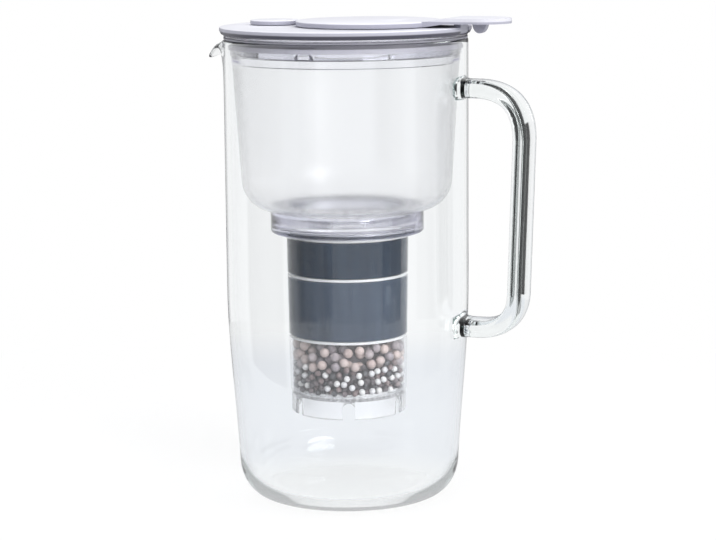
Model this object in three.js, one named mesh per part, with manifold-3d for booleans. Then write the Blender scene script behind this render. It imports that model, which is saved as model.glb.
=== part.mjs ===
// A glass water filter pitcher, in millimetres, +Z up.
// The origin is the centre of the jug's foot. The handle is on +X, the pouring lip on -X.
// From the floor up: jug, hanging cartridge, threaded collar, reservoir bowl, lid.

import * as THREE from "three";
import { mergeVertices } from "three/addons/utils/BufferGeometryUtils.js";
import Module from "manifold-3d";

const wasm = await Module();
wasm.setup();

// How finely round things are divided
const jugSides = 56;
const roundSides = 40;
const smallSides = 16;
const threadSides = 32; // steps in one turn of a screw ridge
const arcSteps = 3;
const heelSteps = 5;
const rimSteps = 4;
const taperSteps = 3;

// Clearances and overruns
const fit = 0.3; // between pieces that touch
const slideFit = 0.5; // between pieces that turn or slide in each other
const cutOver = 1; // how far a cut runs past what it cuts

// Jug
const jugRadius = 62.5;
const jugWall = 2.2;
const jugFloor = 4.2;
const footInset = 21.5; // from the wall in to the flat foot
const heelInset = 5.3; // from the wall in to the top of the round heel
const heelHeight = 21;
const taperHeight = 112; // where the straight wall begins
const heelPull = 9.5; // how far the heel's curve runs on along the floor
const heelRise = 13; // and along the wall
const spoutLength = 32; // height of the wall that the lip is drawn from
const spoutReach = 13.5; // from the wall's middle out to the lip's tip
const spoutDrop = 11; // from the rim down to the lip's tip
const spoutCrest = 9; // how far the lip's curve is pulled up before it falls
const spoutHalfAngle = 0.44; // radians each way from -X
const spoutRows = 5;

// Handle
const handleThickness = 9.5;
const handleWidth = 20;
const handleSquareness = 3; // 2 is an ellipse, more fills the corners of the section
const handleReach = 32.6; // from the wall to the middle of the grip
const handleTopDrop = 24.3; // from the rim to the middle of the upper run
const handleSpan = 121.5; // between the middles of the two runs
const handleTopBend = 25;
const handleLowBend = 20;
const handleLean = 2.7; // the grip leans in this much at its foot
const handleSteps = 30;
const handleSides = 24;

// Base of the cartridge
const floorGap = 40; // free height under the cartridge
const skirtHeight = 11.1;
const skirtRadius = 29.7;
const skirtWall = 1.7;
const skirtRound = 1.2;
const sieveThickness = 1.8;
const sieveHoleRadius = 1.6;
const sieveRings = 2;
const spigotHeight = 1.6;
const slotCount = 6;
const slotWidth = 6.2;
const slotHeight = 8.9;
const slotTurn = -69.5; // degrees from +X to the first slot

// Cartridge
const shellTopRadius = 31.5;
const shellFootRadius = 30.2;
const shellWall = 1.6;
const flangeRim = 3.4; // how far the cartridge's flange stands out of its shell
const flangeThick = 1.5;
const gridThick = 2;
const gridDrop = 0.4; // from the flange's top down to the grid
const gridSlots = 10;
const gridSlotWidth = 2.4;
const gridHub = 7;
const gridEdge = 4;
const inletFleeceThick = 2;
const outletFleeceThick = 1.2;
const dividerThick = 1.3;
const upperPackHeight = 19.2;
const lowerPackHeight = 30.4;
const largeBeadHeight = 12.4;
const smallBeadHeight = 13.1;

// Neck under the bowl, its gasket and the threaded collar
const neckGasketThick = 0.8;
const neckLength = 6.8;
const neckWall = 5.2;
const threadPitch = 3.2;
const threadDepth = 1.4;
const threadRoot = 1.4; // a ridge's width at its foot
const threadCrest = 0.8; // and at its top
const threadStart = 0.9; // from the neck's foot up to the first ridge's middle
const neckThreadTurns = 1.4;
const collarThreadTurns = 1.0;
const collarWall = 2.4;
const collarLip = 1.6;
const collarRound = 1.5;

// Reservoir bowl
const bowlHeight = 88.7;
const bowlWall = 1.8;
const bowlFloor = 1.8;
const bowlFillet = 16;
const bowlFootInset = 4.8; // from the rim zone in to the top of the fillet
const bowlShoulderInset = 1; // from the rim zone in to the frosted wall's top
const shoulderDrop = 13.2; // from the flange down to that shoulder
const shoulderStep = 0.4;
const bandDrop = 9.3; // from the flange down to the clear band's foot
const mouthGap = 1.3; // between the glass and the rim zone
const bowlFlangeThick = 1.2;
const bowlFlangeInset = 0.3; // the flange stops short of the glass's outside
const pourNotchWidth = 24;

// Rim gasket
const rimGasketThick = 0.7;
const rimGasketLeg = 5.5;

// Lid
const lidHeight = 3.5;
const lidSkin = 2;
const lidOverhang = 1.8; // past the glass
const lidEdgeRound = 0.5;
const lidEdgeBevel = 0.8; // how far the lower half of the edge leans in
const lidLip = 4;
const skirtDrop = 10.6; // below the lid's own foot
const lidSkirtWall = 2;
const lidSkirtGap = 0.6; // to the bowl's inside
const sealHeight = 2;
const sealDepth = 0.7; // how deep it sits in the skirt
const sealDrop = 7.3;
const padWidth = 9.3;
const padHeight = 4.3;
const fillRadius = 30;
const fillCollarWall = 1.8;
const fillCollarDrop = 1.3;

// Reminder dial
const dialRadius = 12.5;
const dialHeight = 2.3;
const dialRound = 0.5;
const dialEdgeGap = 3.1; // from the skirt in to the dial
const dialStem = 3;
const dialSnap = 0.9;
const dialSnapHeight = 1.1;
const dialGripWidth = 3;
const dialGripDepth = 0.9;

// Flap with its thumb tab and hinge
const flapThick = 2.7;
const flapRound = 0.6;
const flapDialGap = 2;
const flapHingeRun = 12.3; // from the flap's round edge to the hinge pin
const tabRise = 1.7;
const tabWidth = 30;
const tabReach = 25.8; // from the pin to the tab's tip
const rampLength = 12;
const rampGap = 3.8; // from the pin in to the ramp's top
const knuckleWidth = 12;
const knuckleRadius = 1.75;
const pinRadius = 0.9;
const pinLength = 20;
const pinInset = 2.5; // from the lid's edge in to the pin
const hingeBossRun = 4.3;
const hingeBossWidth = 24;
const ribWidth = 5;
const ribLength = 7.3;
const ribDepth = 5;
const ribGap = 6.6; // from the pin out to the rib

// Heights, from the floor up
const skirtFoot = jugFloor + floorGap;
const baseTop = skirtFoot + skirtHeight;
const shellFoot = baseTop + fit;
const outletFleeceTop = shellFoot + outletFleeceThick;
const smallBeadFoot = Math.max(outletFleeceTop, baseTop + spigotHeight) + fit;
const largeBeadFoot = smallBeadFoot + smallBeadHeight + fit;
const lowerDividerFoot = largeBeadFoot + largeBeadHeight + fit;
const lowerPackFoot = lowerDividerFoot + dividerThick + fit;
const upperDividerFoot = lowerPackFoot + lowerPackHeight + fit;
const upperPackFoot = upperDividerFoot + dividerThick + fit;
const inletFleeceFoot = upperPackFoot + upperPackHeight + fit;
const gridFoot = inletFleeceFoot + inletFleeceThick + fit;
const flangeTop = gridFoot + gridThick + gridDrop;
const flangeFoot = flangeTop - flangeThick;
const neckGasketFoot = flangeTop + fit;
const neckFoot = neckGasketFoot + neckGasketThick + fit;
const bowlFoot = neckFoot + neckLength;
const bowlFlangeFoot = bowlFoot + bowlHeight;
const bowlTop = bowlFlangeFoot + bowlFlangeThick;
const rimGasketTop = bowlFlangeFoot - fit;
const rimGasketFoot = rimGasketTop - rimGasketThick;
const jugRim = rimGasketFoot - fit;
const lidFoot = bowlTop + fit;
const lidTop = lidFoot + lidHeight;
const lidUnder = lidTop - lidSkin;
const flapFoot = lidTop + fit;
const tabFoot = flapFoot + tabRise;
const pinHeight = lidFoot + knuckleRadius;

// Radii, from the glass inwards
const mouthRadius = jugRadius - jugWall;
const bowlRadius = mouthRadius - mouthGap;
const bowlMouth = bowlRadius - bowlWall;
const bowlFlangeRadius = jugRadius - bowlFlangeInset;
const lidRadius = jugRadius + lidOverhang;
const lidSkirtRadius = bowlMouth - lidSkirtGap;
const lidSkirtInside = lidSkirtRadius - lidSkirtWall;
const collarBore = shellTopRadius + slideFit;
const flangeRadius = shellTopRadius + flangeRim;
const neckRadius = flangeRadius + fit;
const neckBore = neckRadius - neckWall;
const threadRadius = neckRadius + threadDepth;
const collarInside = threadRadius + slideFit;
const collarRadius = collarInside + collarWall;

// Places along X on the lid
const pinX = lidRadius - pinInset;
const dialX = -(lidSkirtInside - dialEdgeGap - dialRadius);
const flapLeft = dialX + dialRadius + flapDialGap;
const flapRight = pinX - flapHingeRun;
const flapRadius = (flapRight - flapLeft) / 2;
const flapX = (flapRight + flapLeft) / 2;

// Solids

// A closed geometry as a solid that can be joined and cut.
function solid(geometry) {
  const bare = geometry.clone();
  bare.deleteAttribute("normal");
  bare.deleteAttribute("uv");
  const merged = mergeVertices(bare, 1e-4);
  const corners = merged.index.array;
  const kept = [];
  for (let i = 0; i < corners.length; i += 3) {
    const [a, b, c] = corners.slice(i, i + 3);
    if (a !== b && b !== c && c !== a) kept.push(a, b, c);
  }
  const mesh = new wasm.Mesh({
    numProp: 3,
    vertProperties: new Float32Array(merged.attributes.position.array),
    triVerts: new Uint32Array(kept),
  });
  return new wasm.Manifold(mesh);
}

// A solid as a geometry with its own flat faces.
function geometryOf(manifold) {
  const mesh = manifold.getMesh();
  const geometry = new THREE.BufferGeometry();
  geometry.setAttribute("position", new THREE.BufferAttribute(mesh.vertProperties, 3));
  geometry.setIndex(new THREE.BufferAttribute(mesh.triVerts, 1));
  const flat = geometry.toNonIndexed();
  flat.computeVertexNormals();
  return flat;
}

const join = (...solids) => solids.reduce((sum, next) => sum.add(next));
const cut = (body, ...tools) => tools.reduce((rest, tool) => rest.subtract(tool), body);

// An outline of [radius, height] points turned round Z. A ring's outline closes on itself,
// another one starts and ends on the axis.
function turnedGeometry(outline, sides, closed) {
  const loop = closed ? [...outline, outline[0]] : outline;
  let area = 0;
  for (let i = 0; i < outline.length; i++) {
    const [r0, z0] = outline[i];
    const [r1, z1] = outline[(i + 1) % outline.length];
    area += r0 * z1 - r1 * z0;
  }
  const points = loop.map(([r, z]) => new THREE.Vector2(r, z));
  if (area < 0) points.reverse();
  return new THREE.LatheGeometry(points, sides).rotateX(Math.PI / 2);
}

const turned = (outline, sides = roundSides) => solid(turnedGeometry(outline, sides, false));
const ring = (outline, sides = roundSides) => solid(turnedGeometry(outline, sides, true));
const tube = (inner, outer, low, high, sides = roundSides) =>
  ring([[inner, low], [outer, low], [outer, high], [inner, high]], sides);
const disc = (radius, low, high, sides = roundSides) =>
  turned([[0, low], [radius, low], [radius, high], [0, high]], sides);

// A box from its lowest to its highest corner.
function block([x0, y0, z0], [x1, y1, z1]) {
  const box = new THREE.BoxGeometry(x1 - x0, y1 - y0, z1 - z0);
  return solid(box.translate((x0 + x1) / 2, (y0 + y1) / 2, (z0 + z1) / 2));
}

// A rod along Y through a place in the XZ plane.
function rodAlongY(radius, length, x, z) {
  return solid(new THREE.CylinderGeometry(radius, radius, length, smallSides).translate(x, 0, z));
}

// Points on an arc of [radius, height], from one angle to another. It may be flatter than round.
function arc(centreR, centreZ, radius, from, to, steps = arcSteps) {
  const points = [];
  for (let i = 0; i <= steps; i++) {
    const angle = from + ((to - from) * i) / steps;
    points.push([centreR + radius * Math.cos(angle), centreZ + radius * Math.sin(angle)]);
  }
  return points;
}

// Points on a cubic curve through [radius, height] points, without its first one.
function curve(p0, p1, p2, p3, steps) {
  const corners = [p0, p1, p2, p3].map(([r, z]) => new THREE.Vector2(r, z));
  const points = new THREE.CubicBezierCurve(...corners).getPoints(steps);
  return points.slice(1).map((p) => [p.x, p.y]);
}

// A screw ridge on a round wall. It stands out by depth, inwards where depth is negative,
// and sinks into the wall at both ends.
function threadRidge(wallRadius, depth, firstHeight, turns) {
  const steps = Math.round(turns * threadSides);
  const sunk = -Math.sign(depth) * fit;
  const corners = [];
  for (let i = 0; i <= steps; i++) {
    const angle = (2 * Math.PI * i) / threadSides;
    const middle = firstHeight + (threadPitch * i) / threadSides;
    const runout = Math.min(1, i / arcSteps, (steps - i) / arcSteps);
    const crest = wallRadius + sunk / 2 + (depth - sunk / 2) * runout;
    const section = [
      [wallRadius + sunk, middle - threadRoot / 2],
      [crest, middle - threadCrest / 2],
      [crest, middle + threadCrest / 2],
      [wallRadius + sunk, middle + threadRoot / 2],
    ];
    for (const [r, z] of section) corners.push(r * Math.cos(angle), r * Math.sin(angle), z);
  }
  const triangles = [];
  const quad = (a, b, c, d) => triangles.push(a, b, c, a, c, d);
  for (let i = 0; i < steps; i++) {
    for (let k = 0; k < 4; k++) {
      const next = (k + 1) % 4;
      quad(4 * i + k, 4 * i + 4 + k, 4 * i + 4 + next, 4 * i + next);
    }
  }
  quad(0, 1, 2, 3);
  quad(4 * steps + 3, 4 * steps + 2, 4 * steps + 1, 4 * steps);
  if (depth < 0) triangles.reverse();
  const geometry = new THREE.BufferGeometry();
  geometry.setAttribute("position", new THREE.BufferAttribute(new Float32Array(corners), 3));
  geometry.setIndex(triangles);
  return solid(geometry);
}

// Jug

// The wall's outline from the edge of the foot up to where the lip is drawn from.
// inset moves it inwards, floor lifts its lower edge.
function wallOutline(inset, floor) {
  const foot = jugRadius - footInset - inset;
  const heel = jugRadius - heelInset - inset;
  const wall = jugRadius - inset;
  const heelTop = heelHeight + floor / 2;
  const halfway = (taperHeight + heelTop) / 2;
  return [
    [foot, floor],
    ...curve([foot, floor], [foot + heelPull, floor], [heel, heelTop - heelRise], [heel, heelTop],
      heelSteps),
    ...curve([heel, heelTop], [heel + heelInset / 3, halfway - heelRise], [wall, halfway + heelRise],
      [wall, taperHeight], taperSteps),
  ];
}

// The wall's height at the rows of the drawn lip, from its root to just under the rim.
function spoutHeights() {
  const rows = [];
  const rimEdge = jugRim - jugWall / 2;
  const root = jugRim - spoutLength;
  for (let i = 0; i < spoutRows; i++) rows.push(root + ((rimEdge - root) * i) / spoutRows);
  return rows;
}

// Bends the straight wall out and over into the pouring lip, around -X.
function drawLip(geometry) {
  const middle = jugRadius - jugWall / 2;
  const root = jugRim - spoutLength;
  const path = new THREE.CubicBezierCurve(
    new THREE.Vector2(middle, root),
    new THREE.Vector2(middle, root + spoutLength / 2),
    new THREE.Vector2(middle + spoutReach / 4, jugRim + spoutCrest),
    new THREE.Vector2(middle + spoutReach, jugRim - spoutDrop),
  );
  const place = geometry.attributes.position;
  for (let i = 0; i < place.count; i++) {
    const [x, y, z] = [place.getX(i), place.getY(i), place.getZ(i)];
    const angle = Math.atan2(y, -x);
    if (z <= root || Math.abs(angle) >= spoutHalfAngle) continue;
    const share = Math.min(1, (z - root) / spoutLength);
    const weight = Math.cos((Math.PI / 2) * (angle / spoutHalfAngle)) ** 2;
    const radius = Math.hypot(x, y);
    const point = path.getPoint(share);
    const along = path.getTangent(share);
    const offset = radius - middle;
    const drawnRadius = point.x + along.y * offset;
    const drawnHeight = point.y - along.x * offset;
    const newRadius = radius + weight * (drawnRadius - radius);
    place.setXYZ(i, (x / radius) * newRadius, (y / radius) * newRadius, z + weight * (drawnHeight - z));
  }
  return geometry;
}

function jugBody() {
  const outside = wallOutline(0, 0);
  const inside = wallOutline(jugWall, jugFloor);
  const rows = spoutHeights();
  const rim = arc(jugRadius - jugWall / 2, jugRim - jugWall / 2, jugWall / 2, 0, Math.PI, rimSteps);
  const outline = [
    [0, 0],
    ...outside,
    ...rows.map((z) => [jugRadius, z]),
    ...rim,
    ...rows.reverse().map((z) => [mouthRadius, z]),
    ...inside.reverse(),
    [0, jugFloor],
  ];
  return solid(drawLip(turnedGeometry(outline, jugSides, false)));
}

// The strap's section, between an oval and a rectangle.
function strapSection() {
  const filled = (share) => Math.sign(share) * Math.abs(share) ** (2 / handleSquareness);
  const points = [];
  for (let side = 0; side < handleSides; side++) {
    const angle = (2 * Math.PI * side) / handleSides;
    const x = (filled(Math.cos(angle)) * handleThickness) / 2;
    const y = (filled(Math.sin(angle)) * handleWidth) / 2;
    points.push(new THREE.Vector2(x, y));
  }
  return new THREE.Shape(points);
}

function jugHandle() {
  const grip = jugRadius + handleReach;
  const top = jugRim - handleTopDrop;
  const low = top - handleSpan;
  const inside = jugRadius - heelInset - handleThickness;
  const corner = (x, z) => new THREE.Vector3(x, 0, z);
  const path = new THREE.CurvePath();
  const lowGrip = grip - handleLean;
  const topEnd = corner(grip - handleTopBend, top);
  const gripTop = corner(grip, top - handleTopBend);
  const gripLow = corner(lowGrip, low + handleLowBend);
  const lowEnd = corner(lowGrip - handleLowBend, low);
  path.add(new THREE.LineCurve3(corner(inside, top), topEnd));
  path.add(new THREE.QuadraticBezierCurve3(topEnd, corner(grip, top), gripTop));
  path.add(new THREE.LineCurve3(gripTop, gripLow));
  path.add(new THREE.QuadraticBezierCurve3(gripLow, corner(lowGrip, low), lowEnd));
  path.add(new THREE.LineCurve3(lowEnd, corner(inside, low)));
  const strap = new THREE.ExtrudeGeometry(strapSection(), { extrudePath: path, steps: handleSteps });
  const keepOut = [[0, 0], ...wallOutline(-fit, 0), [jugRadius + fit, jugRim], [0, jugRim]];
  return cut(solid(strap), turned(keepOut, jugSides));
}

// Reservoir

function reservoirBowl() {
  const shoulder = bowlRadius - bowlShoulderInset;
  const wallFoot = bowlRadius - bowlFootInset;
  const filletTop = bowlFoot + bowlFillet;
  const shoulderZ = bowlFlangeFoot - shoulderDrop;
  const bandZ = bowlFlangeFoot - bandDrop;
  const inner = bowlFillet - bowlWall;
  const down = -Math.PI / 2;
  const outline = [
    [neckBore, neckFoot],
    [neckRadius, neckFoot],
    [neckRadius, bowlFoot],
    ...arc(wallFoot - bowlFillet, filletTop, bowlFillet, down, 0),
    [shoulder, shoulderZ],
    [shoulder + shoulderStep, shoulderZ + shoulderStep],
    [shoulder + shoulderStep, bandZ],
    [bowlRadius, bandZ + shoulderStep],
    [bowlRadius, bowlFlangeFoot],
    [bowlFlangeRadius, bowlFlangeFoot],
    [bowlFlangeRadius, bowlTop],
    [bowlMouth, bowlTop],
    [bowlMouth, bandZ],
    [shoulder - bowlWall, shoulderZ],
    ...arc(wallFoot - bowlFillet, bowlFoot + bowlFloor + inner, inner, 0, down),
    [neckBore, bowlFoot + bowlFloor],
  ];
  const firstTurn = neckFoot + threadStart;
  const thread = threadRidge(neckRadius, threadDepth, firstTurn, neckThreadTurns);
  return cut(join(ring(outline), thread), pourNotch());
}

// The gap in the flange and in its gasket that lets the water out to the lip.
function pourNotch() {
  const half = pourNotchWidth / 2;
  const low = [-jugRadius - cutOver, -half, jugRim - rimGasketLeg - cutOver];
  const high = [0, half, bowlTop + cutOver];
  return cut(block(low, high), disc(bowlRadius, low[2] - cutOver, high[2] + cutOver));
}

function rimGasket() {
  const inner = bowlRadius + fit;
  const leg = mouthRadius - fit;
  const outline = [
    [inner, rimGasketTop - rimGasketLeg],
    [leg, rimGasketTop - rimGasketLeg],
    [leg, rimGasketFoot],
    [bowlFlangeRadius, rimGasketFoot],
    [bowlFlangeRadius, rimGasketTop],
    [inner, rimGasketTop],
  ];
  return cut(ring(outline), pourNotch());
}

const neckGasket = () =>
  tube(neckBore, flangeRadius, neckGasketFoot, neckGasketFoot + neckGasketThick);

// Threaded collar

function clampRing() {
  const foot = flangeFoot - fit - collarLip;
  const seat = foot + collarLip;
  const top = bowlFoot - fit;
  const roundAt = collarRadius - collarRound;
  const outline = [
    [collarBore, foot],
    ...arc(roundAt, foot + collarRound, collarRound, -Math.PI / 2, 0),
    [collarRadius, top],
    [collarInside, top],
    [collarInside, seat],
    [collarBore, seat],
  ];
  const firstTurn = neckFoot + threadStart + threadPitch / 2;
  const thread = threadRidge(collarInside, -threadDepth, firstTurn, collarThreadTurns);
  return join(ring(outline), thread);
}

// Cartridge

// The shell's inner radius at a height.
function shellInside(z) {
  const share = (z - shellFoot) / (flangeFoot - shellFoot);
  return shellFootRadius - shellWall + share * (shellTopRadius - shellFootRadius);
}

function cartridgeShell() {
  return ring([
    [shellFootRadius - shellWall, shellFoot],
    [shellFootRadius, shellFoot],
    [shellTopRadius, flangeFoot],
    [flangeRadius, flangeFoot],
    [flangeRadius, flangeTop],
    [shellInside(flangeTop), flangeTop],
  ]);
}

// A round filling of some height, following the shell's taper.
function filling(low, height) {
  const high = low + height;
  return turned([
    [0, low],
    [shellInside(low) - fit, low],
    [shellInside(high) - fit, high],
    [0, high],
  ]);
}

function cartridgeGrid() {
  const low = gridFoot;
  const high = gridFoot + gridThick;
  const radius = shellInside(low) - fit;
  const slots = [];
  for (let i = 0; i < gridSlots; i++) {
    const half = gridSlotWidth / 2;
    const slot = block([gridHub, -half, low - cutOver], [radius - gridEdge, half, high + cutOver]);
    slots.push(slot.rotate([0, 0, (360 * i) / gridSlots]));
  }
  return cut(disc(radius, low, high), ...slots);
}

// The sieve with its skirt and the round-topped slots that the water leaves by.
function sieveBase() {
  const top = baseTop;
  const sieveFoot = top - sieveThickness;
  const spigotRadius = shellFootRadius - shellWall - fit;
  const inside = skirtRadius - skirtWall;
  const spigotInside = spigotRadius - skirtWall;
  const outline = [
    [0, sieveFoot],
    [inside, sieveFoot],
    [inside, skirtFoot],
    ...arc(skirtRadius - skirtRound, skirtFoot + skirtRound, skirtRound, -Math.PI / 2, 0),
    [skirtRadius, top],
    [spigotRadius, top],
    [spigotRadius, top + spigotHeight],
    [spigotInside, top + spigotHeight],
    [spigotInside, top],
    [0, top],
  ];
  const cuts = [];
  const arch = slotWidth / 2;
  for (let i = 0; i < slotCount; i++) {
    const shaft = block(
      [inside - cutOver, -arch, skirtFoot - cutOver],
      [skirtRadius + cutOver, arch, skirtFoot + slotHeight - arch],
    );
    const length = skirtWall + 2 * cutOver;
    const crown = new THREE.CylinderGeometry(arch, arch, length, smallSides);
    crown.rotateZ(Math.PI / 2);
    crown.translate(inside + skirtWall / 2, 0, skirtFoot + slotHeight - arch);
    const turn = slotTurn + (360 * i) / slotCount;
    cuts.push(join(shaft, solid(crown)).rotate([0, 0, turn]));
  }
  for (let k = 1; k <= sieveRings; k++) {
    const radius = (spigotInside * k) / (sieveRings + 1);
    const count = 6 * k;
    for (let i = 0; i < count; i++) {
      const angle = (2 * Math.PI * i) / count;
      const hole = disc(sieveHoleRadius, sieveFoot - cutOver, top + cutOver, 6);
      cuts.push(hole.translate([radius * Math.cos(angle), radius * Math.sin(angle), 0]));
    }
  }
  return cut(turned(outline), ...cuts);
}

// Lid

function lidPlate() {
  const middle = (lidFoot + lidTop) / 2;
  const groove = lidUnder - sealDrop;
  const skirtFootZ = lidFoot - skirtDrop;
  const outline = [
    [0, lidUnder],
    [lidSkirtInside, lidUnder],
    [lidSkirtInside, skirtFootZ],
    [lidSkirtRadius, skirtFootZ],
    [lidSkirtRadius, groove],
    [lidSkirtRadius - sealDepth, groove],
    [lidSkirtRadius - sealDepth, groove + sealHeight],
    [lidSkirtRadius, groove + sealHeight],
    [lidSkirtRadius, lidUnder],
    [lidRadius - lidLip, lidUnder],
    [lidRadius - lidLip, lidFoot],
    [lidRadius - lidEdgeBevel, lidFoot],
    [lidRadius, middle],
    ...arc(lidRadius - lidEdgeRound, lidTop - lidEdgeRound, lidEdgeRound, 0, Math.PI / 2),
    [0, lidTop],
  ];
  const fillCollar = disc(fillRadius + fillCollarWall, lidUnder - fillCollarDrop, lidUnder);
  const boss = block(
    [pinX - hingeBossRun, -hingeBossWidth / 2, lidFoot],
    [pinX, hingeBossWidth / 2, lidUnder + cutOver],
  );
  const pads = [1, -1].map((side) => skirtPad(side, skirtFootZ));
  const notchHalf = knuckleWidth / 2 + fit;
  const notch = block(
    [pinX - knuckleRadius - fit, -notchHalf, lidFoot - cutOver],
    [lidRadius + cutOver, notchHalf, lidTop + cutOver],
  );
  const fill = disc(fillRadius, lidUnder - fillCollarDrop - cutOver, lidTop + cutOver);
  const dialHole = disc(dialStem + fit, lidUnder - cutOver, lidTop + cutOver, smallSides);
  return cut(
    join(turned(outline), fillCollar.translate([flapX, 0, 0]), boss, ...pads),
    fill.translate([flapX, 0, 0]),
    dialHole.translate([dialX, 0, 0]),
    rodAlongY(pinRadius + fit, pinLength + 2 * fit, pinX, pinHeight),
    notch,
  );
}

// A raised pad on the skirt that centres the lid in the bowl.
function skirtPad(side, foot) {
  const band = tube(lidSkirtInside, bowlMouth - fit, foot, foot + padHeight);
  const half = padWidth / 2;
  const low = [-half, Math.min(0, side * lidRadius), foot - cutOver];
  const high = [half, Math.max(0, side * lidRadius), foot + padHeight + cutOver];
  return band.intersect(block(low, high));
}

function lidSeal() {
  const groove = lidUnder - sealDrop;
  const inner = lidSkirtRadius - sealDepth + fit;
  return tube(inner, bowlMouth - fit, groove + fit, groove + sealHeight - fit);
}

// The dial turns on a stem that snaps through the lid. Its own origin is on its axis.
function reminderDial() {
  const low = flapFoot;
  const top = low + dialHeight;
  const snapTop = lidUnder - fit;
  const snapRadius = dialStem + dialSnap;
  const outline = [
    [0, snapTop - dialSnapHeight],
    [dialStem, snapTop - dialSnapHeight],
    [snapRadius, snapTop - dialSnapHeight / 2],
    [snapRadius, snapTop],
    [dialStem, snapTop],
    [dialStem, low],
    [dialRadius - dialRound, low],
    [dialRadius, low + dialRound],
    [dialRadius, top - dialRound],
    [dialRadius - dialRound, top],
    [0, top],
  ];
  const half = dialGripWidth / 2;
  const groove = block(
    [dialRadius / 2, -half, top - dialGripDepth],
    [dialRadius + cutOver, half, top + cutOver],
  );
  return cut(turned(outline, 2 * smallSides), groove);
}

// Flap

function flapCover() {
  const round = turned([
    [0, flapFoot],
    [flapRadius, flapFoot],
    [flapRadius, flapFoot + flapThick - flapRound],
    [flapRadius - flapRound, flapFoot + flapThick],
    [0, flapFoot + flapThick],
  ]).translate([flapX, 0, 0]);
  const leg = block(
    [pinX - knuckleRadius, -knuckleWidth / 2, pinHeight],
    [pinX + knuckleRadius, knuckleWidth / 2, tabFoot + flapThick / 2],
  );
  const barrel = rodAlongY(knuckleRadius, knuckleWidth, pinX, pinHeight);
  const bore = rodAlongY(pinRadius + fit, knuckleWidth + 2 * cutOver, pinX, pinHeight);
  return cut(join(round, thumbTab(), tabRib(), leg, barrel), bore);
}

// The tab's side view is drawn across the lid, then trimmed to a round-ended strap.
function thumbTab() {
  const rampEnd = pinX - rampGap;
  const rampStart = rampEnd - rampLength;
  const tip = pinX + tabReach;
  const root = flapX + flapRadius / 2;
  const side = new THREE.Shape();
  side.moveTo(root, flapFoot);
  side.lineTo(rampStart, flapFoot);
  side.lineTo(rampEnd, tabFoot);
  side.lineTo(tip, tabFoot);
  side.lineTo(tip, tabFoot + flapThick - flapRound);
  side.lineTo(tip - flapRound, tabFoot + flapThick);
  side.lineTo(rampEnd, tabFoot + flapThick);
  side.lineTo(rampStart, flapFoot + flapThick);
  side.lineTo(root, flapFoot + flapThick);
  const slab = new THREE.ExtrudeGeometry(side, { depth: tabWidth, bevelEnabled: false });
  slab.translate(0, 0, -tabWidth / 2).rotateX(Math.PI / 2);
  const half = tabWidth / 2;
  const plan = new THREE.Shape();
  plan.moveTo(root, -half);
  plan.lineTo(tip - half, -half);
  plan.absarc(tip - half, 0, half, -Math.PI / 2, Math.PI / 2, false);
  plan.lineTo(root, half);
  const height = 2 * (tabFoot + flapThick - flapFoot);
  const strap = new THREE.ExtrudeGeometry(plan, {
    depth: height,
    bevelEnabled: false,
    curveSegments: smallSides,
  });
  strap.translate(0, 0, flapFoot - cutOver);
  return solid(slab).intersect(solid(strap));
}

// The half-round rib under the tab that stops it against the jug.
function tabRib() {
  const half = ribLength / 2;
  const middle = pinX + ribGap + half;
  const rootHeight = tabFoot + flapThick / 2;
  const profile = new THREE.Shape();
  profile.moveTo(middle - half, rootHeight);
  profile.lineTo(middle - half, tabFoot);
  profile.absellipse(middle, tabFoot, half, ribDepth, Math.PI, 2 * Math.PI, false);
  profile.lineTo(middle + half, rootHeight);
  const rib = new THREE.ExtrudeGeometry(profile, {
    depth: ribWidth,
    bevelEnabled: false,
    curveSegments: 2 * arcSteps,
  });
  return solid(rib.translate(0, 0, -ribWidth / 2).rotateX(Math.PI / 2));
}

// Colours and finishes from the photo
const finish = (color, roughness, opacity = 1) =>
  new THREE.MeshStandardMaterial({ color, roughness, metalness: 0, opacity, transparent: opacity < 1 });
const glass = finish(0xe6eeee, 0.05, 0.35);
const handleGlass = finish(0xd9e6e1, 0.05, 0.5);
const frosted = finish(0xe4e4f0, 0.5, 0.7);
const clearPlastic = finish(0xd2d3e2, 0.15, 0.5);
const lavender = finish(0xd4d3e6, 0.35);
const silicone = finish(0xb9b8c8, 0.6);
const steel = new THREE.MeshStandardMaterial({ color: 0xb8babd, roughness: 0.3, metalness: 1 });
const shellPlastic = finish(0xe2e6ea, 0.1, 0.4);
const whitePlastic = finish(0xf1f2f4, 0.4);
const fleece = finish(0xe9e9ea, 0.95);
const darkPack = finish(0x3d454f, 0.9);
const greyPack = finish(0x5a626c, 0.9);
const beige = finish(0xb7a199, 0.6);
const mineral = finish(0x77747a, 0.55);

function piece(name, shape, material) {
  const mesh = new THREE.Mesh(geometryOf(shape), material);
  mesh.name = name;
  return mesh;
}

// Assembly
const cartridge = new THREE.Group();
const fleeceRadius = shellFootRadius - shellWall - skirtWall - 2 * fit;
cartridge.add(
  piece("cartridge_shell", cartridgeShell(), shellPlastic),
  piece("cartridge_grid", cartridgeGrid(), whitePlastic),
  piece("inlet_fleece", filling(inletFleeceFoot, inletFleeceThick), fleece),
  piece("upper_filter_pack", filling(upperPackFoot, upperPackHeight), darkPack),
  piece("upper_divider", filling(upperDividerFoot, dividerThick), whitePlastic),
  piece("lower_filter_pack", filling(lowerPackFoot, lowerPackHeight), greyPack),
  piece("lower_divider", filling(lowerDividerFoot, dividerThick), whitePlastic),
  piece("large_ceramic_beads", filling(largeBeadFoot, largeBeadHeight), beige),
  piece("small_mineral_beads", filling(smallBeadFoot, smallBeadHeight), mineral),
  piece("outlet_fleece", disc(fleeceRadius, shellFoot, outletFleeceTop), fleece),
  piece("sieve_base", sieveBase(), shellPlastic),
);

const collar = new THREE.Group();
collar.add(piece("clamp_ring", clampRing(), clearPlastic));

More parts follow.
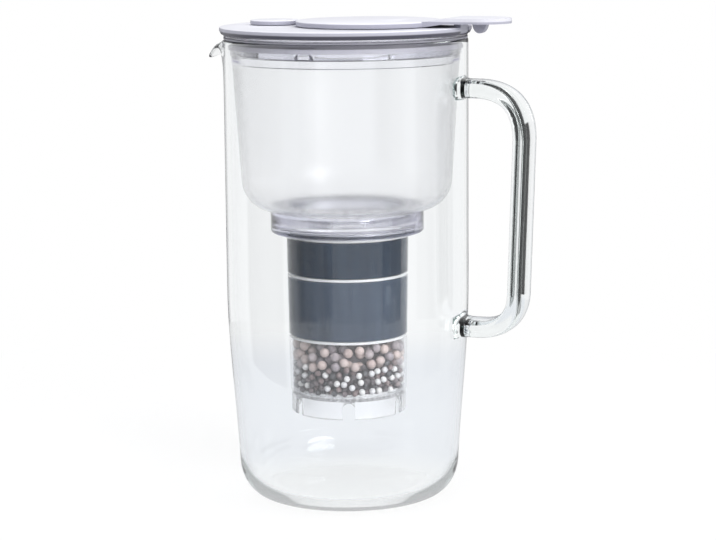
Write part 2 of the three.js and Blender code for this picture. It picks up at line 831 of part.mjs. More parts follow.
const dial = new THREE.Group();
dial.position.set(dialX, 0, 0);
dial.add(piece("reminder_dial", reminderDial(), lavender));

const lid = new THREE.Group();
lid.add(
  piece("lid_plate", lidPlate(), lavender),
  piece("lid_seal", lidSeal(), silicone),
  piece("hinge_pin", rodAlongY(pinRadius, pinLength, pinX, pinHeight), steel),
  piece("flap_cover", flapCover(), lavender),
  dial,
);

const reservoir = new THREE.Group();
reservoir.add(
  piece("reservoir_bowl", reservoirBowl(), frosted),
  piece("rim_gasket", rimGasket(), silicone),
  piece("neck_gasket", neckGasket(), silicone),
  cartridge,
  collar,
  lid,
);

const pitcher = new THREE.Group();
pitcher.name = "water_filter_pitcher";
pitcher.add(
  piece("jug_body", jugBody(), glass),
  piece("jug_handle", jugHandle(), handleGlass),
  reservoir,
);

export default pitcher;
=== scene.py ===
# %% [markdown]
# # A water filter pitcher
# A tall glass jug with a frosted funnel bowl in its mouth. A clear cartridge hangs under the
# bowl in a threaded collar, and a thin lid with a fill flap and a small dial lies on top.
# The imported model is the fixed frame: every piece here is made around it, in metres, with the
# handle on +X and the pouring lip on -X. The smooth glass and plastic forms replace the
# faceted solids, and a few hidden solids stay and only get a finish.

# %% Load the frame
import math
import random

import bpy
import numpy as np
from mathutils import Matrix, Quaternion, Vector


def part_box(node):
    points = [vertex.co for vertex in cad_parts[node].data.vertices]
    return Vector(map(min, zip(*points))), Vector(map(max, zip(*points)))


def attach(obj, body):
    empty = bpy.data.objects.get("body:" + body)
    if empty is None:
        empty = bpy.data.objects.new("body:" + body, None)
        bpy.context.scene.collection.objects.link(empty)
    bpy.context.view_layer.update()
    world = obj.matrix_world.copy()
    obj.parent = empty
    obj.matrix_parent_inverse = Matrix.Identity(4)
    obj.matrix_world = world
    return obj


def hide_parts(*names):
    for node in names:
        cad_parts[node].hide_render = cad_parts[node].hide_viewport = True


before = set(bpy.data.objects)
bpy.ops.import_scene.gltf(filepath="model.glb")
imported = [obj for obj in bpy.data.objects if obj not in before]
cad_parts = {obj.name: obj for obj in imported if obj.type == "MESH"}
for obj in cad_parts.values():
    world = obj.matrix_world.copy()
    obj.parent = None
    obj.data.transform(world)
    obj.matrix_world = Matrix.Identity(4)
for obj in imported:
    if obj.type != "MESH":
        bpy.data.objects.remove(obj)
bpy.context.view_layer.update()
MM = 0.001

# %% [markdown]
# ## The camera first
# The photograph is 716 pixels wide. Ellipses of the rim, the collar and the foot give a long
# lens, a little above the jug, looking at its front left so that the handle turns towards us.
# The jug leans by less than a degree in the picture, so the camera is rolled by as much.

# %% Camera
PHOTO_WIDTH = 716
FOCAL_PIXELS = 2300
SENSOR = 36
TURN = math.radians(20.5)
TILT = math.radians(9.2)
DISTANCE = 1191.5 * MM
ROLL = math.radians(-0.5)
AIM_HEIGHT = 117.1 * MM
AIM_RIGHT = 5.3 * MM

aim = Vector((AIM_RIGHT * math.cos(TURN), AIM_RIGHT * math.sin(TURN), AIM_HEIGHT))
back = Vector((math.sin(TURN) * math.cos(TILT), -math.cos(TURN) * math.cos(TILT), math.sin(TILT)))
lens = bpy.data.cameras.new("camera")
lens.sensor_fit = "HORIZONTAL"
lens.sensor_width = SENSOR
lens.lens = SENSOR * FOCAL_PIXELS / PHOTO_WIDTH
camera = bpy.data.objects.new("camera", lens)
camera.location = aim + DISTANCE * back
camera.rotation_euler = ((-back).to_track_quat("-Z", "Y") @ Quaternion((0, 0, 1), ROLL)).to_euler()
bpy.context.scene.collection.objects.link(camera)
bpy.context.scene.camera = camera
print("camera at", [round(v, 4) for v in camera.location], "lens", round(lens.lens, 1))

# %% [markdown]
# ## Shader maths in plain Python
# A material is easier to read when its sums are sums. `Link` wraps a socket, so an
# expression on it adds the Math nodes, and `Finish.add` makes every other node.

# %% A small language for materials
class Link:
    """A shader socket that Python's operators work on."""

    def __init__(self, finish, socket):
        self.finish = finish
        self.socket = socket

    def maths(self, operation, first, second=0.0, third=0.0):
        settings = {"operation": operation}
        return self.finish.add("ShaderNodeMath", settings, {0: first, 1: second, 2: third})

    def __add__(self, other):
        return self.maths("ADD", self, other)

    def __sub__(self, other):
        return self.maths("SUBTRACT", self, other)

    def __rsub__(self, other):
        return self.maths("SUBTRACT", other, self)

    def __mul__(self, other):
        return self.maths("MULTIPLY", self, other)

    def __truediv__(self, other):
        return self.maths("DIVIDE", self, other)

    def __gt__(self, other):
        return self.maths("GREATER_THAN", self, other)

    __radd__ = __add__
    __rmul__ = __mul__


class Finish:
    """The nodes of one material, or of the world."""

    def __init__(self, owner, output="ShaderNodeOutputMaterial"):
        owner.use_nodes = True
        self.owner = owner
        self.tree = owner.node_tree
        self.tree.nodes.clear()
        self.output = self.tree.nodes.new(output)

    def put(self, socket, value):
        if isinstance(value, Link):
            self.tree.links.new(value.socket, socket)
        else:
            socket.default_value = value

    def add(self, kind, settings=None, sockets=None, out=0):
        node = self.tree.nodes.new(kind)
        for name, value in (settings or {}).items():
            setattr(node, name, value)
        for name, value in (sockets or {}).items():
            self.put(node.inputs[name], value)
        return Link(self, node.outputs[out])

    def place(self):
        """The object's own X, Y and Z at the point that is shaded."""
        spot = self.add("ShaderNodeTexCoord", out="Object")
        return self.axes(spot)

    def axes(self, vector):
        split = self.add("ShaderNodeSeparateXYZ", sockets={0: vector}).socket.node
        return [Link(self, split.outputs[i]) for i in range(3)]

    def vector(self, x, y, z):
        return self.add("ShaderNodeCombineXYZ", sockets={0: x, 1: y, 2: z})

    def noise(self, scale, detail=2.0, spot=None):
        spot = spot or self.add("ShaderNodeTexCoord", out="Object")
        sockets = {"Vector": spot, "Scale": scale, "Detail": detail}
        return self.add("ShaderNodeTexNoise", sockets=sockets, out="Fac")

    def step(self, value, low, high):
        """0 below low, 1 above high, and smooth between them."""
        settings = {"interpolation_type": "SMOOTHSTEP"}
        sockets = {"Value": value, "From Min": low, "From Max": high}
        return self.add("ShaderNodeMapRange", settings, sockets)

    def mix(self, share, first, second):
        """A colour between two colours."""
        settings = {"data_type": "RGBA"}
        return self.add("ShaderNodeMix", settings, {0: share, 6: first, 7: second}, out=2)

    def bump(self, height, strength, distance):
        sockets = {"Height": height, "Strength": strength, "Distance": distance}
        return self.add("ShaderNodeBump", sockets=sockets)

    def surface(self, **sockets):
        """The one shader. Names are given with underscores for spaces."""
        named = {name.replace("_", " "): value for name, value in sockets.items()}
        shader = self.add("ShaderNodeBsdfPrincipled", sockets=named)
        self.put(self.output.inputs["Surface"], shader)
        return self.owner

    def depth_tint(self, colour, density):
        """Light that goes a long way through the stuff takes up its colour."""
        sockets = {"Color": colour, "Density": density}
        self.put(self.output.inputs["Volume"], self.add("ShaderNodeVolumeAbsorption", sockets=sockets))


def material(name):
    return Finish(bpy.data.materials.new(name))


# %% [markdown]
# ## Clear finishes
# Blown glass is never quite even, so a wide, faint noise bends its surface a little. Its faint
# green only shows where light goes a long way through it, at the edges and in the handle.
# Moulded clear plastic is flatter, with a lavender tint. The bowl is etched below its rim:
# the same plastic, but rough, so it blurs and whitens what is behind it.

# %% Glass
def blown_glass():
    glass = material("blown_glass")
    waves = glass.noise(28.0, 1.0)
    glass.depth_tint((0.62, 0.72, 0.70, 1), 9.0)
    return glass.surface(
        Base_Color=glass.mix(glass.noise(9.0), (0.985, 0.99, 0.995, 1), (0.97, 0.98, 0.985, 1)),
        Roughness=glass.noise(60.0) * 0.01,
        IOR=1.47,
        Transmission_Weight=1.0,
        Normal=glass.bump(waves, 0.12, 0.4 * MM),
    )


# %% Clear and etched plastic
WHITE = (1, 1, 1, 1)
SHADE_BAND_EDGE = 0.4 * MM


def clear_plastic(name, pale, dark, tint, density, rough, clear=1.0, band=(0.0, 0.0), painted_band_shade=WHITE):
    plastic = material(name)
    plastic.depth_tint(tint, density)
    x, y, z = plastic.place()
    colour = plastic.mix(plastic.noise(35.0), pale, dark)
    # Between the two heights in band the colour turns to the band's colour, which is painted shade.
    above = plastic.step(z, band[0], band[0] + SHADE_BAND_EDGE)
    below = 1 - plastic.step(z, band[1] - SHADE_BAND_EDGE, band[1])
    return plastic.surface(
        Base_Color=plastic.mix(above * below, colour, painted_band_shade),
        Roughness=plastic.noise(90.0) * rough + rough,
        IOR=1.49,
        Transmission_Weight=clear,
        Normal=plastic.bump(plastic.noise(120.0, 1.0), 0.06, 0.2 * MM),
    )


def etched_plastic():
    plastic = material("etched_plastic")
    flow = plastic.noise(18.0, 3.0)
    plastic.depth_tint((0.76, 0.76, 0.81, 1), 10.0)
    return plastic.surface(
        Base_Color=plastic.mix(flow, (1.0, 1.0, 1.0, 1), (0.99, 0.99, 1.0, 1)),
        Roughness=flow * 0.05 + 0.16,
        IOR=1.22,
        Transmission_Weight=1.0,
        Normal=plastic.bump(plastic.noise(2600.0, 1.0), 0.2, 0.05 * MM),
    )


# %% [markdown]
# ## Opaque finishes
# The lid's plastic is a satin lavender white with a very fine grain. The filter packs are
# wrapped granules: dark slate, with faint upright streaks where the wrap creases.

# %% Satin plastic
def satin_plastic(name, pale, dark, rough):
    plastic = material(name)
    return plastic.surface(
        Base_Color=plastic.mix(plastic.noise(45.0, 3.0), pale, dark),
        Roughness=plastic.noise(300.0) * 0.1 + rough,
        Specular_IOR_Level=0.45,
        Normal=plastic.bump(plastic.noise(3000.0, 2.0), 0.12, 0.05 * MM),
    )


def lid_plastic(name, side_shade_tone, edge_shade_low, edge_shade_high, side_lit_low, side_lit_high):
    """Satin plastic with painted shade: its sides are painted greyer, less so above one height, and below another
    height it is painted near black.
    """
    plastic = material(name)
    x, y, z = plastic.place()
    across, along, up = plastic.axes(plastic.add("ShaderNodeTexCoord", out="Normal"))
    grain = plastic.noise(45.0, 3.0)
    pale = plastic.mix(grain, (0.84, 0.84, 0.895, 1), (0.81, 0.81, 0.87, 1))
    # Painted shade: faces that don't face up are greyer, and above the side_lit heights most of that painted shade is
    # taken off.
    side = (1 - plastic.step(up, 0.1, 0.8)) * (1 - plastic.step(z, side_lit_low, side_lit_high) * 0.75)
    shaded = plastic.mix(side, pale, side_shade_tone)
    # Painted shadow: below the edge_shade heights the colour turns to a near-black lavender.
    below = 1 - plastic.step(z, edge_shade_low, edge_shade_high)
    return plastic.surface(
        Base_Color=plastic.mix(below, shaded, (0.066, 0.065, 0.088, 1)),
        Roughness=plastic.noise(300.0) * 0.1 + 0.28,
        Specular_IOR_Level=0.45,
        Normal=plastic.bump(plastic.noise(3000.0, 2.0), 0.1, 0.05 * MM),
    )


# %% Filter media
def pack_wrap(name, pale, dark):
    wrap = material(name)
    x, y, z = wrap.place()
    stretched = wrap.vector(x * 1.0, y * 1.0, z * 0.06)
    streaks = wrap.noise(190.0, 2.0, stretched)
    grains = wrap.noise(1400.0, 2.0)
    shade = wrap.step(streaks * 0.75 + grains * 0.25, 0.35, 0.65)
    return wrap.surface(
        Base_Color=wrap.mix(shade, dark, pale),
        Roughness=grains * 0.2 + 0.6,
        Specular_IOR_Level=0.2,
        Normal=wrap.bump(grains + streaks, 0.35, 0.2 * MM),
    )


CHANCE = "chance"


def bead_finish(name, shades):
    """Each ball takes one of the shades, by the chance that its points carry."""
    balls = material(name)
    chance = balls.add("ShaderNodeAttribute", {"attribute_name": CHANCE}, out="Fac")
    ramp = balls.tree.nodes.new("ShaderNodeValToRGB")
    ramp.color_ramp.interpolation = "CONSTANT"
    for i, shade in enumerate(shades):
        stop = ramp.color_ramp.elements[0] if i == 0 else ramp.color_ramp.elements.new(i / len(shades))
        stop.color = shade
    balls.put(ramp.inputs["Fac"], chance)
    speckle = balls.noise(2200.0, 2.0)
    return balls.surface(
        Base_Color=balls.mix(speckle * 0.35, Link(balls, ramp.outputs["Color"]), (0.35, 0.31, 0.30, 1)),
        Roughness=speckle * 0.2 + 0.38,
        Normal=balls.bump(speckle, 0.3, 0.1 * MM),
    )


# %% Small finishes
def fleece_finish():
    felt = material("fleece")
    fibres = felt.noise(1800.0, 4.0)
    return felt.surface(
        Base_Color=felt.mix(fibres, (0.93, 0.93, 0.93, 1), (0.78, 0.78, 0.79, 1)),
        Roughness=fibres * 0.1 + 0.88,
        Normal=felt.bump(fibres, 0.7, 0.3 * MM),
    )


def steel_finish():
    steel = material("ground_steel")
    x, y, z = steel.place()
    lines = steel.noise(2400.0, 2.0, steel.vector(x, y * 0.03, z))
    return steel.surface(
        Base_Color=steel.mix(lines, (0.70, 0.71, 0.72, 1), (0.56, 0.57, 0.58, 1)),
        Metallic=1.0,
        Roughness=lines * 0.15 + 0.22,
        Normal=steel.bump(lines, 0.2, 0.02 * MM),
    )


# %% [markdown]
# ## Turned pieces
# Nearly all of this object is round. As on a lathe, the outline is drawn first: a single
# point is extruded from place to place in the XZ plane, and then spun round Z.

# %% Outlines
def arc(centre_r, centre_z, radius, start, end, steps=8, tall=None):
    """Points on a round or flattened arc, with its angles in degrees."""
    tall = radius if tall is None else tall
    angles = [math.radians(start + (end - start) * i / steps) for i in range(steps + 1)]
    return [(centre_r + radius * math.cos(a), centre_z + tall * math.sin(a)) for a in angles]


def curve(p0, p1, p2, p3, steps=10):
    """Points on a cubic curve, without its first one."""
    points = []
    for i in range(1, steps + 1):
        t = i / steps
        weights = ((1 - t) ** 3, 3 * t * (1 - t) ** 2, 3 * t * t * (1 - t), t ** 3)
        points.append(tuple(sum(w * p[k] for w, p in zip(weights, (p0, p1, p2, p3))) for k in (0, 1)))
    return points


# %% The lathe
SIDES = 144


def start_piece(name, add, **sizes):
    """Adds a primitive with nothing else selected and goes into edit mode."""
    bpy.ops.object.select_all(action="DESELECT")
    add(**sizes)
    piece = bpy.context.object
    piece.name = name
    bpy.ops.object.transform_apply(location=True, rotation=True, scale=True)
    bpy.ops.object.mode_set(mode="EDIT")
    bpy.ops.mesh.select_all(action="SELECT")
    return piece


def close_piece(smooth=35):
    """Merges doubles, turns the faces outwards and shades them smooth."""
    bpy.ops.mesh.select_all(action="SELECT")
    bpy.ops.mesh.remove_doubles(threshold=0.002 * MM)
    bpy.ops.mesh.normals_make_consistent(inside=False)
    bpy.ops.object.mode_set(mode="OBJECT")
    bpy.ops.object.shade_smooth_by_angle(angle=math.radians(smooth))


def turned(name, outline, closed=False, sides=SIDES):
    """A solid of revolution. An open outline starts and ends on the axis."""
    piece = start_piece(name, bpy.ops.mesh.primitive_plane_add, size=MM)
    bpy.ops.mesh.merge(type="CENTER")
    here = (0.0, 0.0)
    loop = [*outline, outline[0]] if closed else outline
    first = loop[0]
    bpy.ops.transform.translate(value=(first[0], 0, first[1]))
    here = first
    for r, z in loop[1:]:
        step = (r - here[0], 0, z - here[1])
        bpy.ops.mesh.extrude_vertices_move(TRANSFORM_OT_translate={"value": step})
        here = (r, z)
    bpy.ops.mesh.select_all(action="SELECT")
    bpy.ops.mesh.spin(steps=sides, angle=2 * math.pi, center=(0, 0, 0), axis=(0, 0, 1))
    close_piece()
    return piece


def use_modifier(piece, kind, **settings):
    """Adds a modifier, sets it and applies it."""
    bpy.ops.object.select_all(action="DESELECT")
    bpy.context.view_layer.objects.active = piece
    piece.select_set(True)
    modifier = piece.modifiers.new(kind.lower(), kind)
    for name, value in settings.items():
        setattr(modifier, name, value)
    bpy.ops.object.modifier_apply(modifier=modifier.name)


def combine(piece, other, operation):
    """Joins other to piece, or cuts it out, and takes other away."""
    use_modifier(piece, "BOOLEAN", object=other, operation=operation, solver="EXACT")
    bpy.data.objects.remove(other, do_unlink=True)


def move(piece, offset):
    """Moves a piece in its own mesh."""
    bpy.ops.object.select_all(action="DESELECT")
    bpy.context.view_layer.objects.active = piece
    piece.select_set(True)
    bpy.ops.transform.translate(value=offset)
    bpy.ops.object.transform_apply(location=True, rotation=True, scale=True)


def box_piece(name, low, high):
    middle = [(a + b) / 2 for a, b in zip(low, high)]
    size = [b - a for a, b in zip(low, high)]
    piece = start_piece(name, bpy.ops.mesh.primitive_cube_add, size=1, location=middle, scale=size)
    close_piece()
    return piece


def rod_piece(name, radius, low, high, centre=(0, 0), sides=48):
    sizes = {"radius": radius, "depth": high - low, "vertices": sides}
    place = (centre[0], centre[1], (low + high) / 2)
    piece = start_piece(name, bpy.ops.mesh.primitive_cylinder_add, location=place, **sizes)
    close_piece()
    return piece


def finished(piece, body, slot, stuff, *nodes):
    """Gives a piece its finish and its body, and hides the solids that it stands for."""
    piece.data.materials.clear()
    for one in stuff if isinstance(stuff, (list, tuple)) else [stuff]:
        piece.data.materials.append(one)
    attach(piece, body)
    if nodes:
        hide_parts(*nodes)
    size = [round(v / MM, 1) for v in piece.dimensions]
    print(piece.name, "on", body, size, "mm,", len(piece.data.polygons), "faces")
    return piece


# %% [markdown]
# ## Sizes
# Places come from the frame's boxes, so a piece lies where its solid lies. Walls and roundings
# that a box doesn't tell are named here, as in the solids' own source.

# %% Sizes from the frame
FIT = 0.3 * MM
JUG_LOW, JUG_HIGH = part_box("jug_body")
JUG_RADIUS, RIM = JUG_HIGH.x, JUG_HIGH.z
WALL = 2.2 * MM
JUG_FLOOR = 4.2 * MM
MOUTH = JUG_RADIUS - WALL
BOWL_LOW, BOWL_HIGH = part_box("reservoir_bowl")
FLANGE_RADIUS = BOWL_HIGH.y
FLANGE_THICK = 1.2 * MM
FLANGE_FOOT = BOWL_HIGH.z - FLANGE_THICK
SHELL_LOW, SHELL_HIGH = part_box("cartridge_shell")
COLLAR_LOW, COLLAR_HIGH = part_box("clamp_ring")
LID_LOW, LID_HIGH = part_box("lid_plate")
BASE_LOW, BASE_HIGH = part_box("sieve_base")

# %% [markdown]
# ## The jug and its handle
# The jug is blown with a flat foot, a round heel and a wall that opens very slightly upwards.
# The lip is drawn from the hot rim opposite the handle: here the points near -X follow a curve
# out and over, most in the middle of the lip and not at all at its sides. The handle is a solid
# strap that was welded on. Its section lies between an oval and a rectangle, which is what draws
# one dark line down the grip. It is swept along its path and then fused to the wall.

# %% Jug wall
FOOT_INSET, HEEL_INSET, HEEL_HEIGHT = 21.5 * MM, 5.3 * MM, 21 * MM
HEEL_PULL, HEEL_RISE, TAPER_HEIGHT = 9.5 * MM, 13 * MM, 112 * MM
LIP_LENGTH, LIP_REACH, LIP_DROP, LIP_CREST = 32 * MM, 13.5 * MM, 11 * MM, 9 * MM
LIP_HALF_ANGLE = 0.44
LIP_THINNING = 0.6
LIP_ROWS = 20


def wall_outline(inset, floor):
    """The wall from the edge of its foot to where it runs straight up."""
    foot, heel, wall = JUG_RADIUS - FOOT_INSET - inset, JUG_RADIUS - HEEL_INSET - inset, JUG_RADIUS - inset
    heel_top = HEEL_HEIGHT + floor / 2
    halfway = (TAPER_HEIGHT + heel_top) / 2
    round_heel = curve((foot, floor), (foot + HEEL_PULL, floor), (heel, heel_top - HEEL_RISE),
                       (heel, heel_top), 18)
    taper = curve((heel, heel_top), (heel + HEEL_INSET / 3, halfway - HEEL_RISE),
                  (wall, halfway + HEEL_RISE), (wall, TAPER_HEIGHT), 14)
    return [(foot, floor), *round_heel, *taper]


def draw_lip(piece):
    """Draws the pouring lip out of the wall around -X."""
    middle, root = JUG_RADIUS - WALL / 2, RIM - LIP_LENGTH
    ends = [Vector((middle, root)), Vector((middle, root + LIP_LENGTH / 2)),
            Vector((middle + LIP_REACH / 4, RIM + LIP_CREST)), Vector((middle + LIP_REACH, RIM - LIP_DROP))]
    for v in piece.data.vertices:
        angle = math.atan2(v.co.y, -v.co.x)
        if v.co.z <= root or abs(angle) >= LIP_HALF_ANGLE:
            continue
        t = min(1, (v.co.z - root) / LIP_LENGTH)
        weight = math.cos(math.pi / 2 * angle / LIP_HALF_ANGLE) ** 2
        shares = ((1 - t) ** 3, 3 * t * (1 - t) ** 2, 3 * t * t * (1 - t), t ** 3)
        point = sum((s * p for s, p in zip(shares, ends)), Vector((0, 0)))
        slopes = (3 * (1 - t) ** 2, 6 * t * (1 - t), 3 * t * t)
        steps = [b - a for a, b in zip(ends, ends[1:])]
        along = sum((s * p for s, p in zip(slopes, steps)), Vector((0, 0))).normalized()
        radius = math.hypot(v.co.x, v.co.y)
        offset = (radius - middle) * (1 - LIP_THINNING * weight * t)
        drawn = (point.x + along.y * offset, point.y - along.x * offset)
        new_radius = radius + weight * (drawn[0] - radius)
        v.co.x *= new_radius / radius
        v.co.y *= new_radius / radius
        v.co.z += weight * (drawn[1] - v.co.z)


root = RIM - LIP_LENGTH
rows = [root + (RIM - WALL / 2 - root) * i / LIP_ROWS for i in range(LIP_ROWS)]
rim = arc(JUG_RADIUS - WALL / 2, RIM - WALL / 2, WALL / 2, 0, 180, 10)
jug_outline = [(0, 0), *wall_outline(0, 0), *[(JUG_RADIUS, z) for z in rows], *rim,
               *[(MOUTH, z) for z in reversed(rows)], *reversed(wall_outline(WALL, JUG_FLOOR)),
               (0, JUG_FLOOR)]
jug = turned("glass_jug", jug_outline, sides=192)
draw_lip(jug)
print("lip reaches", round(-min(v.co.x for v in jug.data.vertices) / MM, 1), "mm")

# %% Handle
HANDLE_LOW, HANDLE_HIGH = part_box("jug_handle")
HANDLE_THICK, HANDLE_WIDTH = 9.5 * MM, HANDLE_HIGH.y - HANDLE_LOW.y
SQUARENESS = 3
GRIP = HANDLE_HIGH.x - HANDLE_THICK / 2
UPPER, LOWER = HANDLE_HIGH.z - HANDLE_THICK / 2, HANDLE_LOW.z + HANDLE_THICK / 2
TOP_BEND, LOW_BEND, LEAN = 25 * MM, 20 * MM, 2.7 * MM
WELD_DEPTH = 1.5 * MM
WELD_RUN, WELD_FLARE = 6 * MM, 1.22


def bend(start, corner, end, steps):
    """Points on a parabola that leaves along one leg of a corner and arrives along the other."""
    shares = [i / steps for i in range(steps + 1)]
    return [start * (1 - t) ** 2 + corner * (2 * t * (1 - t)) + end * t * t for t in shares]


def handle_path():
    low_grip = GRIP - LEAN
    top = bend(Vector((GRIP - TOP_BEND, UPPER)), Vector((GRIP, UPPER)), Vector((GRIP, UPPER - TOP_BEND)), 20)
    low = bend(Vector((low_grip, LOWER + LOW_BEND)), Vector((low_grip, LOWER)),
               Vector((low_grip - LOW_BEND, LOWER)), 20)
    inside = JUG_RADIUS - WELD_DEPTH
    roots = [inside, inside + WELD_RUN / 3, inside + WELD_RUN * 2 / 3, inside + WELD_RUN]
    start = [Vector((x, UPPER)) for x in roots]
    end = [Vector((x, LOWER)) for x in reversed(roots)]
    return [*start, *top, *low, *end]


def filled(share):
    """Pushes a place on the unit circle out towards the square round it."""
    return math.copysign(abs(share) ** (2 / SQUARENESS), share)


def swept_handle():
    path = handle_path()
    piece = start_piece("handle", bpy.ops.mesh.primitive_circle_add, vertices=64, radius=1,
                        fill_type="NGON", rotation=(0, math.pi / 2, 0))
    bpy.ops.object.mode_set(mode="OBJECT")
    for v in piece.data.vertices:
        v.co.y, v.co.z = filled(v.co.y) * HANDLE_WIDTH / 2, filled(v.co.z) * HANDLE_THICK / 2
    bpy.ops.object.mode_set(mode="EDIT")
    bpy.ops.transform.translate(value=(path[0].x, 0, path[0].y))
    heading, size = 0.0, 1.0
    for i, (a, b) in enumerate(zip(path, path[1:])):
        after = path[min(i + 2, len(path) - 1)]
        turn = math.atan2(after.y - a.y, after.x - a.x)
        if turn > math.pi / 2:
            turn -= 2 * math.pi
        bpy.ops.mesh.extrude_region_move(TRANSFORM_OT_translate={"value": (b.x - a.x, 0, b.y - a.y)})
        bpy.ops.transform.rotate(value=turn - heading, orient_axis="Y", center_override=(b.x, 0, b.y))
        heading = turn
    close_piece()
    return piece


handle = swept_handle()
print("handle", [round(v / MM, 1) for v in handle.dimensions])

# %% Flare the welds and fuse them
def flare_welds(piece):
    """Widens both ends of the handle towards the wall, as soft glass does when it is pressed on."""
    for v in piece.data.vertices:
        away = (v.co.x - (JUG_RADIUS - WELD_DEPTH)) / WELD_RUN
        if away < 1:
            centre = UPPER if v.co.z > (UPPER + LOWER) / 2 else LOWER
            grow = 1 + (WELD_FLARE - 1) * (1 - max(0, away)) ** 2
            v.co.y *= grow
            v.co.z = centre + (v.co.z - centre) * grow


flare_welds(handle)
combine(jug, handle, "UNION")
finished(jug, "jug", "jug_glass", blown_glass(), "jug_body", "jug_handle")

# %% [markdown]
# ## The funnel bowl
# The bowl hangs by a thin flange on the glass rim. Its rim zone is polished and clear; under a
# small shoulder the wall is etched. It tapers to a wide fillet, a flat floor and a short neck
# with a screw thread for the collar.

# %% Bowl sizes
BOWL_WALL = 1.8 * MM
MOUTH_GAP = 1.3 * MM
BOWL_RADIUS = MOUTH - MOUTH_GAP
BOWL_FOOT = COLLAR_HIGH.z + FIT
FILLET, FOOT_TAPER, SHOULDER_INSET = 16 * MM, 4.8 * MM, 1 * MM
SHOULDER_DROP, SHOULDER_STEP, BAND_DROP = 13.2 * MM, 0.4 * MM, 9.3 * MM
NECK_RADIUS = SHELL_HIGH.x + FIT
NECK_WALL = 5.2 * MM
NOTCH_WIDTH = 24 * MM
PITCH, THREAD_DEPTH, THREAD_ROOT, THREAD_CREST = 3.2 * MM, 1.4 * MM, 1.4 * MM, 0.8 * MM
THREAD_START = 0.9 * MM


# %% A screw thread
def thread_ridge(wall_radius, depth, first_height, turns):
    """A ridge wound round Z by the screw modifier, sunk a little into its wall."""
    sunk = -math.copysign(FIT / 2, depth)
    section = [(wall_radius + sunk, -THREAD_ROOT / 2), (wall_radius + depth, -THREAD_CREST / 2),
               (wall_radius + depth, THREAD_CREST / 2), (wall_radius + sunk, THREAD_ROOT / 2)]
    piece = start_piece("thread", bpy.ops.mesh.primitive_plane_add, size=MM)
    bpy.ops.object.mode_set(mode="OBJECT")
    for v, (r, z) in zip(piece.data.vertices, (section[0], section[1], section[3], section[2])):
        v.co = (r, 0, z + first_height)
    use_modifier(piece, "SCREW", axis="Z", angle=2 * math.pi * turns, screw_offset=PITCH * turns,
                 steps=int(SIDES * turns), render_steps=int(SIDES * turns), use_smooth_shade=True)
    bpy.ops.object.mode_set(mode="EDIT")
    bpy.ops.mesh.select_all(action="SELECT")
    close_piece()
    return piece


# %% Bowl
def bowl_outline():
    shoulder, wall_foot = BOWL_RADIUS - SHOULDER_INSET, BOWL_RADIUS - FOOT_TAPER
    shoulder_z, band_z = FLANGE_FOOT - SHOULDER_DROP, FLANGE_FOOT - BAND_DROP
    inner = FILLET - BOWL_WALL
    bore = NECK_RADIUS - NECK_WALL
    centre = wall_foot - FILLET
    return [
        (bore, BOWL_LOW.z), (NECK_RADIUS, BOWL_LOW.z), (NECK_RADIUS, BOWL_FOOT - FIT),
        *arc(NECK_RADIUS + FIT, BOWL_FOOT - FIT, FIT, 180, 90, 3),
        *arc(centre, BOWL_FOOT + FILLET, FILLET, -90, 0, 18),
        (shoulder, shoulder_z), (shoulder + SHOULDER_STEP, shoulder_z + SHOULDER_STEP),
        (shoulder + SHOULDER_STEP, band_z), (BOWL_RADIUS, band_z + SHOULDER_STEP),
        *arc(BOWL_RADIUS + FIT, FLANGE_FOOT - FIT, FIT, 180, 90, 3),
        *arc(FLANGE_RADIUS - FLANGE_THICK / 2, FLANGE_FOOT + FLANGE_THICK / 2, FLANGE_THICK / 2, -90, 90, 6),
        *arc(BOWL_RADIUS - BOWL_WALL + FIT, BOWL_HIGH.z - FIT, FIT, 90, 180, 3),
        (BOWL_RADIUS - BOWL_WALL, band_z), (shoulder - BOWL_WALL, shoulder_z),
        *arc(centre, BOWL_FOOT + FILLET, inner, 0, -90, 18), (bore, BOWL_FOOT + BOWL_WALL),
    ]


def notch_tool(low, high):
    """The block that opens the flange and its gasket towards the lip, hollow up to the bowl's wall."""
    half = NOTCH_WIDTH / 2
    tool = box_piece("notch", (-JUG_RADIUS - MM, -half, low), (0, half, high))
    combine(tool, rod_piece("keep", BOWL_RADIUS, low - MM, high + MM, sides=SIDES), "DIFFERENCE")
    return tool


bowl = turned("funnel_bowl", bowl_outline(), closed=True)
combine(bowl, thread_ridge(NECK_RADIUS, THREAD_DEPTH, BOWL_LOW.z + THREAD_START, 1.4), "UNION")
combine(bowl, notch_tool(RIM - 6 * MM, BOWL_HIGH.z + MM), "DIFFERENCE")
bowl_clear = clear_plastic("rim_plastic", (0.97, 0.97, 0.99, 1), (0.93, 0.93, 0.96, 1),
                           (0.72, 0.70, 0.82, 1), 14.0, 0.02)
finished(bowl, "reservoir", "frosted_plastic", [etched_plastic(), bowl_clear], "reservoir_bowl")
polished_from = FLANGE_FOOT - SHOULDER_DROP + 0.1 * MM
for face in bowl.data.polygons:
    face.material_index = int(face.center.z > polished_from)

# %% Gaskets of the bowl
def gasket_finish(name, pale, dark):
    rubber = material(name)
    haze = rubber.noise(70.0, 3.0)
    return rubber.surface(
        Base_Color=rubber.mix(haze, pale, dark),
        Roughness=haze * 0.1 + 0.35,
        IOR=1.41,
        Transmission_Weight=0.7,
        Normal=rubber.bump(haze, 0.1, 0.1 * MM),
    )


